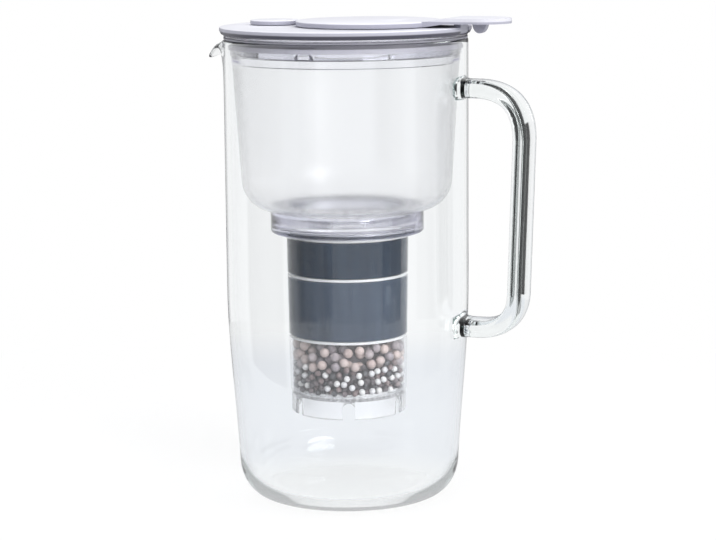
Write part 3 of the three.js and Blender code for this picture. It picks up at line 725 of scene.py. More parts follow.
silicone = gasket_finish("silicone", (0.80, 0.79, 0.86, 1), (0.72, 0.71, 0.79, 1))
# The rim gasket's upper leg is painted darker: painted shade below the flange.
shaded_silicone = gasket_finish("shaded_silicone", (0.32, 0.31, 0.36, 1), (0.26, 0.25, 0.30, 1))
GASKET_LOW, GASKET_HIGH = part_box("rim_gasket")
leg_inner, leg_outer = BOWL_RADIUS + FIT, MOUTH - FIT
shade_from = RIM - 2.1 * MM
rim_gasket = turned("rim_seal", [
    (leg_inner, GASKET_LOW.z), (leg_outer, GASKET_LOW.z), (leg_outer, shade_from), (leg_outer, RIM + FIT),
    (FLANGE_RADIUS, RIM + FIT), (FLANGE_RADIUS, GASKET_HIGH.z), (leg_inner, GASKET_HIGH.z),
    (leg_inner, shade_from),
], closed=True)
combine(rim_gasket, notch_tool(GASKET_LOW.z - MM, BOWL_HIGH.z + MM), "DIFFERENCE")
finished(rim_gasket, "reservoir", "silicone", [silicone, shaded_silicone], "rim_gasket")
for face in rim_gasket.data.polygons:
    face.material_index = int(shade_from < face.center.z < RIM + FIT / 2)
SEAL_LOW, SEAL_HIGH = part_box("neck_gasket")
seal_height = SEAL_HIGH.z - SEAL_LOW.z
neck_outline = [*arc(SEAL_HIGH.x - seal_height / 2, SEAL_LOW.z + seal_height / 2, seal_height / 2, -90, 90, 6),
                (NECK_RADIUS - NECK_WALL, SEAL_HIGH.z), (NECK_RADIUS - NECK_WALL, SEAL_LOW.z)]
neck_gasket = turned("neck_seal", neck_outline, closed=True)
finished(neck_gasket, "reservoir", "silicone", silicone, "neck_gasket")

# %% [markdown]
# ## The threaded collar
# A clear ring with a rounded lower corner. Its lip carries the cartridge's flange, and its
# own ridge runs in the neck's thread, half a pitch away from it.

# %% Collar
COLLAR_WALL, COLLAR_LIP, COLLAR_ROUND = 2.4 * MM, 1.6 * MM, 1.5 * MM
collar_foot, collar_top, collar_radius = COLLAR_LOW.z, COLLAR_HIGH.z, COLLAR_HIGH.y
collar_inside = collar_radius - COLLAR_WALL
collar_bore = SHELL_HIGH.x - 2.9 * MM
collar = turned("screw_collar", [
    *arc(collar_bore + FIT, collar_foot + FIT, FIT, 180, 270, 3),
    *arc(collar_radius - COLLAR_ROUND, collar_foot + COLLAR_ROUND, COLLAR_ROUND, -90, 0, 8),
    *arc(collar_radius - FIT, collar_top - FIT, FIT, 0, 90, 3),
    *arc(collar_inside + FIT, collar_top - FIT, FIT, 90, 180, 3),
    (collar_inside, collar_foot + COLLAR_LIP),
    *arc(collar_bore + FIT, collar_foot + COLLAR_LIP - FIT, FIT, 90, 180, 3),
], closed=True)
combine(collar, thread_ridge(collar_inside, -THREAD_DEPTH, BOWL_LOW.z + THREAD_START + PITCH / 2, 1.0),
        "UNION")
# The dark band just above the collar's foot, at its rounded lower corner, is painted shade.
collar_plastic = clear_plastic("collar_plastic", (0.95, 0.95, 0.98, 1), (0.92, 0.92, 0.96, 1),
                               (0.55, 0.53, 0.68, 1), 32.0, 0.02,
                               band=(collar_foot + 0.4 * MM, collar_foot + 2.4 * MM), painted_band_shade=(0.24, 0.26, 0.31, 1))
finished(collar, "collar", "clear_plastic", collar_plastic, "clamp_ring")

# %% [markdown]
# ## The cartridge
# A clear tapered tube with a flange at its mouth. From the top it holds a grid, a fleece, two
# dark filter packs between white dividers, and two beds of mineral balls on a sieve.

# %% Shell
SHELL_WALL, FLANGE_RIM, FLANGE_HEIGHT = 1 * MM, 3.4 * MM, 1.5 * MM
CONTACT = 0.1 * MM
SHELL_FOOT_RADIUS = 30.2 * MM
SHELL_TOP_RADIUS = SHELL_HIGH.x - FLANGE_RIM
shell_flange = SHELL_HIGH.z - FLANGE_HEIGHT


def shell_inside(z):
    share = (z - SHELL_LOW.z) / (shell_flange - SHELL_LOW.z)
    return SHELL_FOOT_RADIUS - SHELL_WALL + share * (SHELL_TOP_RADIUS - SHELL_FOOT_RADIUS)


shell = turned("cartridge_tube", [
    (SHELL_FOOT_RADIUS - SHELL_WALL, SHELL_LOW.z), (SHELL_FOOT_RADIUS, SHELL_LOW.z),
    (SHELL_TOP_RADIUS, shell_flange), (SHELL_HIGH.x, shell_flange), (SHELL_HIGH.x, SHELL_HIGH.z),
    (shell_inside(SHELL_HIGH.z), SHELL_HIGH.z),
], closed=True)
shell_plastic = clear_plastic("shell_plastic", (0.97, 0.975, 0.985, 1), (0.94, 0.945, 0.96, 1),
                              (0.75, 0.78, 0.82, 1), 14.0, 0.03)
finished(shell, "cartridge", "cartridge_plastic", shell_plastic, "cartridge_shell")


# %% Packs, dividers and fleeces
def filling(name, node, soften, foot_drop=0.0, top_drop=0.0):
    """A round filling pressed against the tube's wall, so that no air shows between them."""
    low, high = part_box(node)
    foot, head = low.z - foot_drop, high.z - top_drop
    bottom, top = shell_inside(foot) + CONTACT, shell_inside(head) + CONTACT
    return turned(name, [
        (0, foot), *arc(bottom - soften, foot + soften, soften, -90, 0, 4),
        *arc(top - soften, head - soften, soften, 0, 90, 4), (0, head),
    ])


dark_wrap = pack_wrap("dark_pack_wrap", (0.034, 0.057, 0.094, 1), (0.018, 0.032, 0.057, 1))
grey_wrap = pack_wrap("grey_pack_wrap", (0.084, 0.114, 0.164, 1), (0.058, 0.081, 0.120, 1))
white_plastic = satin_plastic("white_plastic", (0.97, 0.975, 0.985, 1), (0.93, 0.935, 0.95, 1), 0.35)
felt = fleece_finish()
FELT_EDGE = 1 * MM
for name, node, stuff, slot, *shape in (
    ("upper_pack", "upper_filter_pack", dark_wrap, "dark_pack", 0.6 * MM, 0.0, FELT_EDGE),
    ("lower_pack", "lower_filter_pack", grey_wrap, "grey_pack", 0.6 * MM),
    ("upper_ring_plate", "upper_divider", white_plastic, "white_plastic", 0.2 * MM),
    ("lower_ring_plate", "lower_divider", white_plastic, "white_plastic", 0.2 * MM),
    ("inlet_felt", "inlet_fleece", felt, "fleece", 0.4 * MM, FELT_EDGE),
):
    finished(filling(name, node, *shape), "cartridge", slot, stuff, node)
FELT_LOW, FELT_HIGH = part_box("outlet_fleece")
outlet_felt = turned("outlet_felt", [
    (0, FELT_LOW.z), *arc(FELT_HIGH.x - FIT, FELT_LOW.z + FIT, FIT, -90, 0, 4),
    *arc(FELT_HIGH.x - FIT, FELT_HIGH.z - FIT, FIT, 0, 90, 4), (0, FELT_HIGH.z),
])
finished(outlet_felt, "cartridge", "fleece", felt, "outlet_fleece")

# %% Grid
GRID_LOW, GRID_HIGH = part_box("cartridge_grid")
GRID_SLOTS, GRID_HUB, GRID_EDGE, GRID_SLOT = 20, 7 * MM, 4 * MM, 1.8 * MM
grid = turned("inlet_grid", [
    (0, GRID_LOW.z), (GRID_HIGH.y, GRID_LOW.z),
    *arc(GRID_HIGH.y - FIT, GRID_HIGH.z - FIT, FIT, 0, 90, 4), (0, GRID_HIGH.z),
])
slots = []
for i in range(GRID_SLOTS):
    angle = 2 * math.pi * i / GRID_SLOTS
    reach = GRID_HIGH.y - GRID_EDGE
    middle, height = (GRID_HUB + reach) / 2, GRID_HIGH.z - GRID_LOW.z + 2 * MM
    place = (middle * math.cos(angle), middle * math.sin(angle), (GRID_LOW.z + GRID_HIGH.z) / 2)
    sizes = {"size": 1, "location": place, "rotation": (0, 0, angle)}
    slot = start_piece("slot", bpy.ops.mesh.primitive_cube_add, scale=(reach - GRID_HUB, GRID_SLOT, height), **sizes)
    close_piece()
    slots.append(slot)
for slot in slots:
    combine(grid, slot, "DIFFERENCE")
finished(grid, "cartridge", "white_plastic", white_plastic, "cartridge_grid")

# %% [markdown]
# ## The balls
# The upper bed is large ceramic balls in beige, pink and mauve; the lower one is small white and
# dark mineral balls. Where the beds meet they mix. Each place is drawn at random against
# the tube's wall or one layer in, and is kept only if the ball touches no other.

# %% Places for the balls
BEAD_LOW, BEAD_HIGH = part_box("small_mineral_beads")
BALL_LOW, BALL_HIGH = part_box("large_ceramic_beads")
BED_DROP = 1.2 * MM
bed_foot = BEAD_LOW.z - BED_DROP
draw = random.Random(7)
centres, radii = np.zeros((0, 3)), np.zeros(0)


def scatter(radius, low, high, tries, layers=2):
    """Places for balls of one size that keep clear of all the others."""
    global centres, radii
    places = []
    for _ in range(tries):
        angle, z = draw.uniform(0, 2 * math.pi), draw.uniform(low + radius, high - radius)
        depth = draw.randrange(layers) * 1.75 * radius
        r = shell_inside(z) - FIT / 2 - radius - depth
        place = np.array((r * math.cos(angle), r * math.sin(angle), z))
        if (np.linalg.norm(centres - place, axis=1) > 0.98 * (radii + radius)).all():
            centres, radii = np.vstack((centres, place)), np.append(radii, radius)
            places.append(place)
    return places


big_places = scatter(2.45 * MM, BALL_LOW.z - 3 * MM, BALL_HIGH.z, 5000)
white_places = scatter(1.65 * MM, bed_foot, BALL_HIGH.z - 5 * MM, 160, 1)
dark_places = scatter(1.5 * MM, bed_foot, BALL_LOW.z + 3 * MM, 14000)
print(len(big_places), "large,", len(white_places), "white and", len(dark_places), "dark balls")


# %% Balls
def ball_piece(name, radius, places):
    """One ball is modelled and copied to every place with a chance of its own, and all are joined."""
    pattern = start_piece(name, bpy.ops.mesh.primitive_uv_sphere_add, segments=10, ring_count=6, radius=radius)
    close_piece(80)
    copies = []
    for place in places:
        copy = pattern.copy()
        copy.data = pattern.data.copy()
        copy.location = place
        chance = draw.random()
        for point in copy.data.attributes.new(CHANCE, "FLOAT", "POINT").data:
            point.value = chance
        bpy.context.scene.collection.objects.link(copy)
        copies.append(copy)
    bpy.ops.object.select_all(action="DESELECT")
    for copy in copies:
        copy.select_set(True)
    bpy.context.view_layer.objects.active = copies[0]
    bpy.data.objects.remove(pattern, do_unlink=True)
    bpy.ops.object.join()
    bpy.ops.object.transform_apply(location=True, rotation=True, scale=True)
    copies[0].name = name
    return copies[0]


CORE = 7.5 * MM
beige = bead_finish("ceramic_balls", [(0.58, 0.46, 0.43, 1), (0.72, 0.59, 0.55, 1), (0.42, 0.37, 0.39, 1),
                                      (0.64, 0.53, 0.50, 1), (0.35, 0.31, 0.34, 1), (0.48, 0.42, 0.43, 1)])
pale = bead_finish("white_balls", [(0.90, 0.90, 0.90, 1), (0.84, 0.84, 0.86, 1), (0.93, 0.92, 0.91, 1)])
slate = bead_finish("dark_balls", [(0.09, 0.08, 0.09, 1), (0.15, 0.12, 0.13, 1), (0.22, 0.16, 0.16, 1),
                                   (0.06, 0.07, 0.08, 1)])
big_balls = ball_piece("large_balls", 2.45 * MM, big_places)
finished(big_balls, "cartridge", "beige_beads", beige, "large_ceramic_beads")
white_balls = ball_piece("white_balls", 1.65 * MM, white_places)
finished(white_balls, "cartridge", "mixed_beads", pale)
dark_balls = ball_piece("dark_balls", 1.5 * MM, dark_places)
finished(dark_balls, "cartridge", "mixed_beads", slate, "small_mineral_beads")
# A dark core fills the middle of the beds. In the lower bed it stands for more dark balls; among the large balls its
# dark colour is painted shade in the gaps.
core = turned("ball_core", [
    (0, bed_foot), (shell_inside(bed_foot) - CORE, bed_foot),
    (shell_inside(BALL_HIGH.z) - CORE, BALL_HIGH.z), (0, BALL_HIGH.z),
])
finished(core, "cartridge", "mixed_beads", slate)

# %% [markdown]
# ## The sieve base
# A clear skirt under the tube with a perforated floor. Six round-topped slots let the
# water out, and one of them faces us.

# %% Sieve base
SKIRT_WALL, SKIRT_ROUND, SKIRT_TOP = 1.7 * MM, 1.2 * MM, SHELL_LOW.z - FIT
SIEVE_THICK, SPIGOT = 1.8 * MM, BASE_HIGH.z - BED_DROP
SLOT_WIDTH, SLOT_HEIGHT, SLOT_TURN = 6.2 * MM, 8.9 * MM, math.radians(-69.5)
skirt_radius = BASE_HIGH.y
skirt_inside = skirt_radius - SKIRT_WALL
spigot_radius = SHELL_FOOT_RADIUS - SHELL_WALL - FIT
sieve = turned("sieve_and_skirt", [
    (0, SKIRT_TOP - SIEVE_THICK), (skirt_inside, SKIRT_TOP - SIEVE_THICK),
    *arc(skirt_inside + 0.3 * MM, BASE_LOW.z + 0.3 * MM, 0.3 * MM, 180, 270, 3),
    *arc(skirt_radius - SKIRT_ROUND, BASE_LOW.z + SKIRT_ROUND, SKIRT_ROUND, -90, 0, 6),
    (skirt_radius, SKIRT_TOP), (spigot_radius, SKIRT_TOP), (spigot_radius, SPIGOT),
    (spigot_radius - SKIRT_WALL, SPIGOT), (spigot_radius - SKIRT_WALL, SKIRT_TOP), (0, SKIRT_TOP),
])


def slot_tool(turn):
    """A block and a crosswise cylinder make one round-topped cutter."""
    arch = SLOT_WIDTH / 2
    low, high = BASE_LOW.z - MM, BASE_LOW.z + SLOT_HEIGHT - arch
    near, far = skirt_inside - MM, skirt_radius + MM
    middle = ((near + far) / 2 * math.cos(turn), (near + far) / 2 * math.sin(turn))
    shaft = start_piece("shaft", bpy.ops.mesh.primitive_cube_add, size=1, rotation=(0, 0, turn),
                        location=(*middle, (low + high) / 2), scale=(far - near, SLOT_WIDTH, high - low))
    close_piece()
    crown = start_piece("crown", bpy.ops.mesh.primitive_cylinder_add, radius=arch, depth=far - near,
                        vertices=32, location=(*middle, high), rotation=(0, math.pi / 2, turn))
    close_piece()
    combine(shaft, crown, "UNION")
    return shaft


for i in range(6):
    combine(sieve, slot_tool(SLOT_TURN + i * math.pi / 3), "DIFFERENCE")


# %% Sieve holes
def sieve_holes():
    """All the holes as one cutter: rings of small six-sided rods."""
    rods = []
    for k in range(1, 9):
        radius, count = k * 2.9 * MM, 6 * k
        for i in range(count):
            angle = 2 * math.pi * i / count
            centre = (radius * math.cos(angle), radius * math.sin(angle))
            rods.append(rod_piece("hole", 0.7 * MM, SKIRT_TOP - SIEVE_THICK - MM, SKIRT_TOP + MM, centre, 6))
    bpy.ops.object.select_all(action="DESELECT")
    for rod in rods:
        rod.select_set(True)
    bpy.context.view_layer.objects.active = rods[0]
    bpy.ops.object.join()
    return rods[0]


combine(sieve, sieve_holes(), "DIFFERENCE")
skirt_plastic = clear_plastic("skirt_plastic", (0.96, 0.965, 0.98, 1), (0.93, 0.935, 0.955, 1),
                              (0.75, 0.78, 0.82, 1), 10.0, 0.14, 0.87)
finished(sieve, "cartridge", "cartridge_plastic", skirt_plastic, "sieve_base")

# %% [markdown]
# ## The lid
# A thin plate with a rounded edge and a skirt that centres it in the bowl. It has the round
# fill hole under the flap, a hole for the dial's stem and a notch with the hinge pin.

# %% Lid plate
LID_TOP, LID_FOOT, LID_RADIUS = LID_HIGH.z, BOWL_HIGH.z + FIT, LID_HIGH.y
LID_SKIN, LID_ROUND, LID_BEVEL, LID_LIP = 2 * MM, 0.5 * MM, 0.8 * MM, 4 * MM
LID_SKIRT = BOWL_RADIUS - BOWL_WALL - 0.6 * MM
LID_SKIRT_WALL = 2 * MM
SEAL_IN_LOW, SEAL_IN_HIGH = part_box("lid_seal")
under = LID_TOP - LID_SKIN
groove = LID_SKIRT - 0.7 * MM
DIAL_LOW, DIAL_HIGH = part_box("reminder_dial")
dial_x, dial_radius = (DIAL_LOW.x + DIAL_HIGH.x) / 2, DIAL_HIGH.y
FLAP_LOW, FLAP_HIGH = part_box("flap_cover")
flap_radius = FLAP_HIGH.y
flap_x = FLAP_LOW.x + flap_radius
PIN_LOW, PIN_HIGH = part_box("hinge_pin")
pin_x, pin_z, pin_radius = (PIN_LOW.x + PIN_HIGH.x) / 2, (PIN_LOW.z + PIN_HIGH.z) / 2, PIN_HIGH.z - (PIN_LOW.z + PIN_HIGH.z) / 2
FILL_RADIUS, FILL_WALL = 30 * MM, 1.8 * MM
PAD_WIDTH, PAD_HEIGHT = 9.3 * MM, 4.3 * MM
KNUCKLE, KNUCKLE_WIDTH = 1.75 * MM, 12 * MM
edge_middle = (LID_FOOT + LID_TOP) / 2
lid = turned("lid", [
    (0, under), (LID_SKIRT - LID_SKIRT_WALL, under), (LID_SKIRT - LID_SKIRT_WALL, LID_LOW.z + FIT),
    *arc(LID_SKIRT - LID_SKIRT_WALL + FIT, LID_LOW.z + FIT, FIT, 180, 270, 3),
    *arc(LID_SKIRT - FIT, LID_LOW.z + FIT, FIT, -90, 0, 3),
    (LID_SKIRT, SEAL_IN_LOW.z - FIT), (groove, SEAL_IN_LOW.z - FIT),
    (groove, SEAL_IN_HIGH.z + FIT), (LID_SKIRT, SEAL_IN_HIGH.z + FIT),
    (LID_SKIRT, under), (LID_RADIUS - LID_LIP, under), (LID_RADIUS - LID_LIP, LID_FOOT),
    *arc(LID_RADIUS - LID_BEVEL - FIT, LID_FOOT + FIT, FIT, -90, 0, 4), (LID_RADIUS, edge_middle),
    *arc(LID_RADIUS - LID_ROUND, LID_TOP - LID_ROUND, LID_ROUND, 0, 90, 6), (0, LID_TOP),
], sides=192)
fill_collar = rod_piece("fill_collar", FILL_RADIUS + FILL_WALL, under - 1.3 * MM, under + MM, (flap_x, 0), 128)
combine(lid, fill_collar, "UNION")
boss = box_piece("boss", (pin_x - 4.3 * MM, -12 * MM, LID_FOOT), (pin_x, 12 * MM, under + MM))
combine(lid, boss, "UNION")
combine(lid, rod_piece("fill", FILL_RADIUS, under - 3 * MM, LID_TOP + MM, (flap_x, 0), 128), "DIFFERENCE")
combine(lid, rod_piece("stem", 3.3 * MM, under - MM, LID_TOP + MM, (dial_x, 0)), "DIFFERENCE")
half = KNUCKLE_WIDTH / 2 + FIT
notch = box_piece("hinge_notch", (pin_x - KNUCKLE - FIT, -half, LID_FOOT - MM), (LID_RADIUS + MM, half, LID_TOP + MM))
combine(lid, notch, "DIFFERENCE")
bore = start_piece("bore", bpy.ops.mesh.primitive_cylinder_add, radius=pin_radius + FIT, depth=20.6 * MM,
                   vertices=32, location=(pin_x, 0, pin_z), rotation=(math.pi / 2, 0, 0))
close_piece()
combine(lid, bore, "DIFFERENCE")
pads = rod_piece("pads", BOWL_RADIUS - BOWL_WALL - FIT, LID_LOW.z, LID_LOW.z + PAD_HEIGHT, sides=SIDES)
combine(pads, rod_piece("within", LID_SKIRT - FIT, LID_LOW.z - MM, under, sides=SIDES), "DIFFERENCE")
combine(pads, box_piece("across", (-PAD_WIDTH / 2, -LID_RADIUS, LID_LOW.z - MM), (PAD_WIDTH / 2, LID_RADIUS, under)),
        "INTERSECT")
combine(lid, pads, "UNION")
# The lid's sides carry painted shade, and the lower half of its edge a near-black painted shadow.
lid_stuff = lid_plastic("lid_plastic", (0.47, 0.47, 0.54, 1), edge_middle - 0.5 * MM, edge_middle + 0.3 * MM,
                        LID_TOP, LID_TOP + MM)
finished(lid, "lid", "lavender_plastic", [lid_stuff, bowl_clear], "lid_plate")
for face in lid.data.polygons:
    x, y, z = face.center
    face.material_index = int(z < under - 0.1 * MM and math.hypot(x, y) > groove - 2 * MM and math.hypot(x, y) < LID_RADIUS - LID_LIP - FIT)

# %% Seal and pin
seal_inner = groove + FIT
lid_seal = turned("lid_ring_seal", [
    (seal_inner, SEAL_IN_LOW.z), *arc(SEAL_IN_HIGH.y - 0.5 * MM, (SEAL_IN_LOW.z + SEAL_IN_HIGH.z) / 2, 0.5 * MM,
                                     -90, 90, 6, tall=(SEAL_IN_HIGH.z - SEAL_IN_LOW.z) / 2),
    (seal_inner, SEAL_IN_HIGH.z),
], closed=True)
grey_silicone = gasket_finish("grey_silicone", (0.30, 0.29, 0.35, 1), (0.24, 0.235, 0.29, 1))
finished(lid_seal, "lid", "silicone", grey_silicone, "lid_seal")
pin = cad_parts["hinge_pin"]
pin.data.materials.clear()
pin.data.materials.append(steel_finish())

# %% [markdown]
# ## The dial and the flap
# The dial is a low disc on a stem that snaps through the lid, with a groove to turn it by.
# The flap covers the fill hole. A ramp lifts its thumb tab over the lid's edge, a leg reaches
# down to the hinge pin, and a half-round rib under the tab stops it.

# %% Dial
snap_top = under - FIT
dial = turned("turning_dial", [
    (0, DIAL_LOW.z), (3 * MM, DIAL_LOW.z), (3.9 * MM, DIAL_LOW.z + 0.55 * MM), (3.9 * MM, snap_top),
    (3 * MM, snap_top), (3 * MM, LID_TOP + FIT), (dial_radius - 0.6 * MM, LID_TOP + FIT),
    *arc(dial_radius - 0.6 * MM, LID_TOP + FIT + 0.6 * MM, 0.6 * MM, -90, 0, 5),
    *arc(dial_radius - 0.6 * MM, DIAL_HIGH.z - 0.6 * MM, 0.6 * MM, 0, 90, 5), (0, DIAL_HIGH.z),
], sides=96)
move(dial, (dial_x, 0, 0))
grip = box_piece("grip", (dial_x + dial_radius / 2, -1.5 * MM, DIAL_HIGH.z - 0.9 * MM),
                 (dial_x + dial_radius + MM, 1.5 * MM, DIAL_HIGH.z + MM))
combine(dial, grip, "DIFFERENCE")
# The dial's and the flap's sides carry painted shade, which is lighter along the top of the flap's edge; they get no
# painted shadow.
cap_plastic = lid_plastic("cap_plastic", (0.40, 0.40, 0.47, 1), 0.0, 0.1 * MM, FLAP_HIGH.z - 1.9 * MM,
                          FLAP_HIGH.z - 1.2 * MM)
finished(dial, "dial", "lavender_plastic", cap_plastic, "reminder_dial")

# %% Flap
FLAP_FOOT, FLAP_THICK, TAB_RISE = LID_TOP + FIT, 2.7 * MM, 1.7 * MM
TAB_WIDTH, RAMP_GAP, RAMP_LENGTH = 30 * MM, 3.8 * MM, 12 * MM
RIB_WIDTH, RIB_LENGTH, RIB_DEPTH, RIB_GAP = 5 * MM, 7.3 * MM, 5 * MM, 6.6 * MM
tab_foot = FLAP_FOOT + TAB_RISE
flap = turned("fill_flap", [
    (0, FLAP_FOOT), *arc(flap_radius - 0.3 * MM, FLAP_FOOT + 0.3 * MM, 0.3 * MM, -90, 0, 3),
    *arc(flap_radius - 0.8 * MM, FLAP_FOOT + FLAP_THICK - 0.8 * MM, 0.8 * MM, 0, 90, 6),
    (0, FLAP_FOOT + FLAP_THICK),
], sides=192)
move(flap, (flap_x, 0, 0))
ramp_end = pin_x - RAMP_GAP
ramp_start = ramp_end - RAMP_LENGTH
tab_root = flap_x + flap_radius / 2
tip_centre = FLAP_HIGH.x - TAB_WIDTH / 2


def thumb_tab():
    """A plate whose far end is drawn out in strips round a half circle, with its ramp set down."""
    tab = box_piece("tab", (tab_root, -TAB_WIDTH / 2, tab_foot), (ramp_start, TAB_WIDTH / 2, tab_foot + FLAP_THICK))
    bpy.ops.object.mode_set(mode="EDIT")
    bpy.ops.mesh.select_mode(type="FACE")
    bpy.ops.mesh.select_all(action="DESELECT")
    bpy.ops.object.mode_set(mode="OBJECT")
    for face in tab.data.polygons:
        face.select = face.normal.x > 0.9
    bpy.ops.object.mode_set(mode="EDIT")
    stations = [ramp_end, tip_centre]
    stations += [tip_centre + TAB_WIDTH / 2 * math.sin(math.radians(a)) for a in range(8, 89, 8)]
    x, width = ramp_start, TAB_WIDTH
    for station in stations:
        bpy.ops.mesh.extrude_region_move(TRANSFORM_OT_translate={"value": (station - x, 0, 0)})
        past = max(0, station - tip_centre)
        new_width = 2 * math.sqrt((TAB_WIDTH / 2) ** 2 - past ** 2)
        bpy.ops.transform.resize(value=(1, new_width / width, 1), center_override=(station, 0, tab_foot))
        x, width = station, new_width
    close_piece(30)
    for v in tab.data.vertices:
        if v.co.x < ramp_start + FIT:
            v.co.z -= TAB_RISE
    return tab


def tab_rib():
    """Half an oval rod across the tab's underside."""
    centre = (pin_x + RIB_GAP + RIB_LENGTH / 2, 0, tab_foot + FIT)
    rib = start_piece("rib", bpy.ops.mesh.primitive_cylinder_add, radius=1, depth=RIB_WIDTH, vertices=48,
                      rotation=(math.pi / 2, 0, 0))
    bpy.ops.transform.resize(value=(RIB_LENGTH / 2, 1, RIB_DEPTH + FIT))
    bpy.ops.transform.translate(value=centre)
    bpy.ops.mesh.bisect(plane_co=centre, plane_no=(0, 0, 1), use_fill=True, clear_outer=True)
    close_piece()
    return rib


combine(flap, thumb_tab(), "UNION")
combine(flap, tab_rib(), "UNION")
leg = box_piece("leg", (pin_x - KNUCKLE, -KNUCKLE_WIDTH / 2, pin_z),
                (pin_x + KNUCKLE, KNUCKLE_WIDTH / 2, tab_foot + FLAP_THICK / 2))
combine(flap, leg, "UNION")
for name, radius, length, action in (("barrel", KNUCKLE, KNUCKLE_WIDTH, "UNION"),
                                     ("pin_hole", pin_radius + FIT, KNUCKLE_WIDTH + 2 * MM, "DIFFERENCE")):
    rod = start_piece(name, bpy.ops.mesh.primitive_cylinder_add, radius=radius, depth=length, vertices=40,
                      location=(pin_x, 0, pin_z), rotation=(math.pi / 2, 0, 0))
    close_piece()
    combine(flap, rod, action)
use_modifier(flap, "BEVEL", width=0.35 * MM, segments=2, limit_method="ANGLE", angle_limit=math.radians(50))
finished(flap, "flap", "lavender_plastic", cap_plastic, "flap_cover")

# %% [markdown]
# ## The studio
# A pale floor and a white room. Clear things are drawn by what they bend into view, so the room
# that glass sees has a few soft screens low down round it, as a photographer would set up: a
# black one far to the right, which the handle draws as its dark line, and grey ones near the
# middle, which draw the edges of the jug. The screens light nothing.

# %% Room
SOFT = 2.0
SCREENS = ((84, 26, 0.02), (-142, 9, 0.05), (-126, 6, 0.36), (-80, 12, 0.7))
SCREEN_FOOT, SCREEN_HEAD = -0.45, 0.12


def room():
    walls = Finish(bpy.context.scene.world or bpy.data.worlds.new("room"), "ShaderNodeOutputWorld")
    bpy.context.scene.world = walls.owner
    path = walls.add("ShaderNodeLightPath").socket.node
    camera_ray, bent_ray, mirror_ray = (
        Link(walls, path.outputs[f"Is {kind} Ray"]) for kind in ("Camera", "Transmission", "Glossy"))
    x, y, z = walls.axes(walls.add("ShaderNodeTexCoord", out="Generated"))
    ahead = y * math.cos(TURN) - x * math.sin(TURN)
    right = x * math.cos(TURN) + y * math.sin(TURN)
    turn = walls.add("ShaderNodeMath", {"operation": "ARCTAN2"}, {0: right, 1: ahead}) * math.degrees(1)
    low = walls.step(z, SCREEN_FOOT - 0.05, SCREEN_FOOT) * (1 - walls.step(z, SCREEN_HEAD, SCREEN_HEAD + 0.05))
    seen = walls.mix(0.0, WHITE, WHITE)
    for middle, half, shade in SCREENS:
        apart = walls.add("ShaderNodeMath", {"operation": "ABSOLUTE"}, {0: turn - middle})
        inside = 1 - walls.step(apart, half - SOFT, half + SOFT)
        seen = walls.mix(inside * low, seen, (shade, shade, shade, 1))
    height = walls.step(z, -0.1, 0.9)
    soft_light = walls.mix(height, (0.50, 0.505, 0.52, 1), (0.96, 0.965, 0.98, 1))
    bright_side = walls.mix(height, (0.78, 0.785, 0.80, 1), (0.95, 0.95, 0.97, 1))
    behind_us = walls.step(turn, 115.0, 150.0) + walls.step(0.0 - turn, 80.0, 120.0)
    dark_side = walls.mix(height, (0.17, 0.175, 0.195, 1), (0.90, 0.90, 0.92, 1))
    ahead_of_us = 1 - walls.step(walls.add("ShaderNodeMath", {"operation": "ABSOLUTE"}, {0: turn}), 20.0, 30.0)
    sheen = walls.mix(behind_us, bright_side, dark_side)
    sheen = walls.mix(ahead_of_us * (1 - walls.step(z, 0.1, 0.3)), sheen, (0.22, 0.22, 0.23, 1))
    light = walls.mix(mirror_ray, soft_light, sheen)
    plain = walls.mix(bent_ray, light, seen)
    colour = walls.mix(camera_ray, plain, WHITE)
    walls.put(walls.output.inputs["Surface"], walls.add("ShaderNodeBackground", sockets={"Color": colour}))


room()


# %% Floor
FLOOR_RADIUS = 0.48
FLOOR_GLOW = 0.72


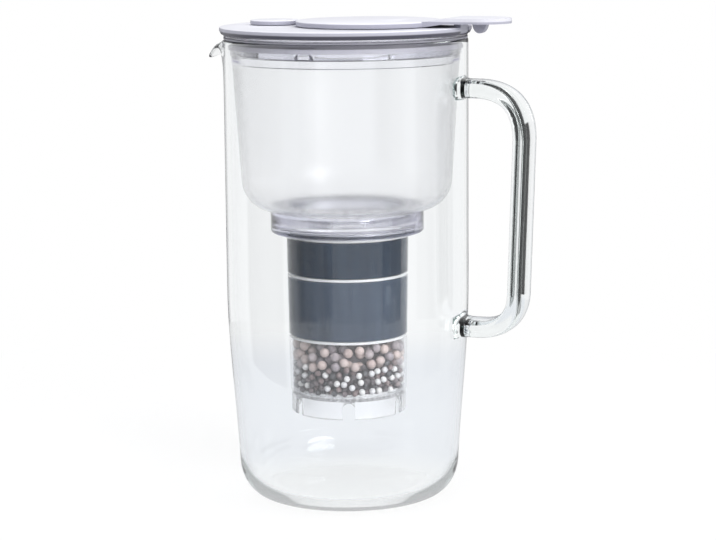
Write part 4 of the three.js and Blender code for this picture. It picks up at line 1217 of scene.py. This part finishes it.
def pale_floor():
    paper = material("pale_paper")
    path = paper.add("ShaderNodeLightPath").socket.node
    camera_ray, bent_ray, mirror_ray = (
        Link(paper, path.outputs[f"Is {kind} Ray"]) for kind in ("Camera", "Transmission", "Glossy"))
    x, y, z = paper.place()
    radius = paper.add("ShaderNodeMath", {"operation": "SQRT"}, {0: x * x + y * y})
    far = paper.step(radius, FLOOR_RADIUS * 0.3, FLOOR_RADIUS * 0.92)
    direct = paper.add("ShaderNodeMath", {"operation": "MAXIMUM"}, {0: camera_ray, 1: bent_ray})
    seen = paper.add("ShaderNodeMath", {"operation": "MAXIMUM"}, {0: direct, 1: mirror_ray})
    matt = paper.add("ShaderNodeBsdfDiffuse", sockets={"Color": (0.9, 0.9, 0.9, 1)})
    # Seen through glass, the floor in a ring round the jug is painted greyer: painted shade.
    behind = paper.step(radius, 0.03, 0.09) * (1 - paper.step(radius, 0.30, 0.46))
    shade_through_glass = paper.mix(behind * bent_ray, WHITE, (0.86, 0.88, 0.92, 1))
    tone = paper.mix(direct, (0.5, 0.5, 0.51, 1), shade_through_glass)
    glow = paper.add("ShaderNodeEmission", sockets={"Color": tone, "Strength": 1.0})
    share = seen * (far * (1 - FLOOR_GLOW) + FLOOR_GLOW)
    shader = paper.add("ShaderNodeMixShader", sockets={0: share, 1: matt, 2: glow})
    paper.put(paper.output.inputs["Surface"], shader)
    return paper.owner


floor = start_piece("floor", bpy.ops.mesh.primitive_circle_add, vertices=96, radius=FLOOR_RADIUS, fill_type="NGON")
close_piece()
floor.data.materials.append(pale_floor())

# %% Lamps
def lamp(name, place, size, power):
    light = bpy.data.lights.new(name, "AREA")
    light.shape, light.size, light.energy = "DISK", size, power
    shine = bpy.data.objects.new(name, light)
    shine.location = place
    shine.rotation_euler = (aim - shine.location).to_track_quat("-Z", "Y").to_euler()
    shine.visible_glossy = False
    bpy.context.scene.collection.objects.link(shine)


lamp("overhead", (0.3, -0.3, 1.6), 1.2, 6)
lamp("right_front", (1.15, -0.8, 0.7), 0.9, 12)

# %% [markdown]
# ## Clear things let the lamps through
# Cycles gives glass a full shadow, which real clear glass doesn't have. The clear pieces cast
# none here, so the balls and the packs behind three walls are still lit.

# %% Shadows and view
for clear in (jug, bowl, collar, shell, sieve):
    clear.visible_shadow = False
light_paths = bpy.context.scene.cycles
light_paths.max_bounces = 28
light_paths.glossy_bounces = 16
light_paths.transmission_bounces = 28
bpy.context.scene.view_settings.view_transform = "Standard"
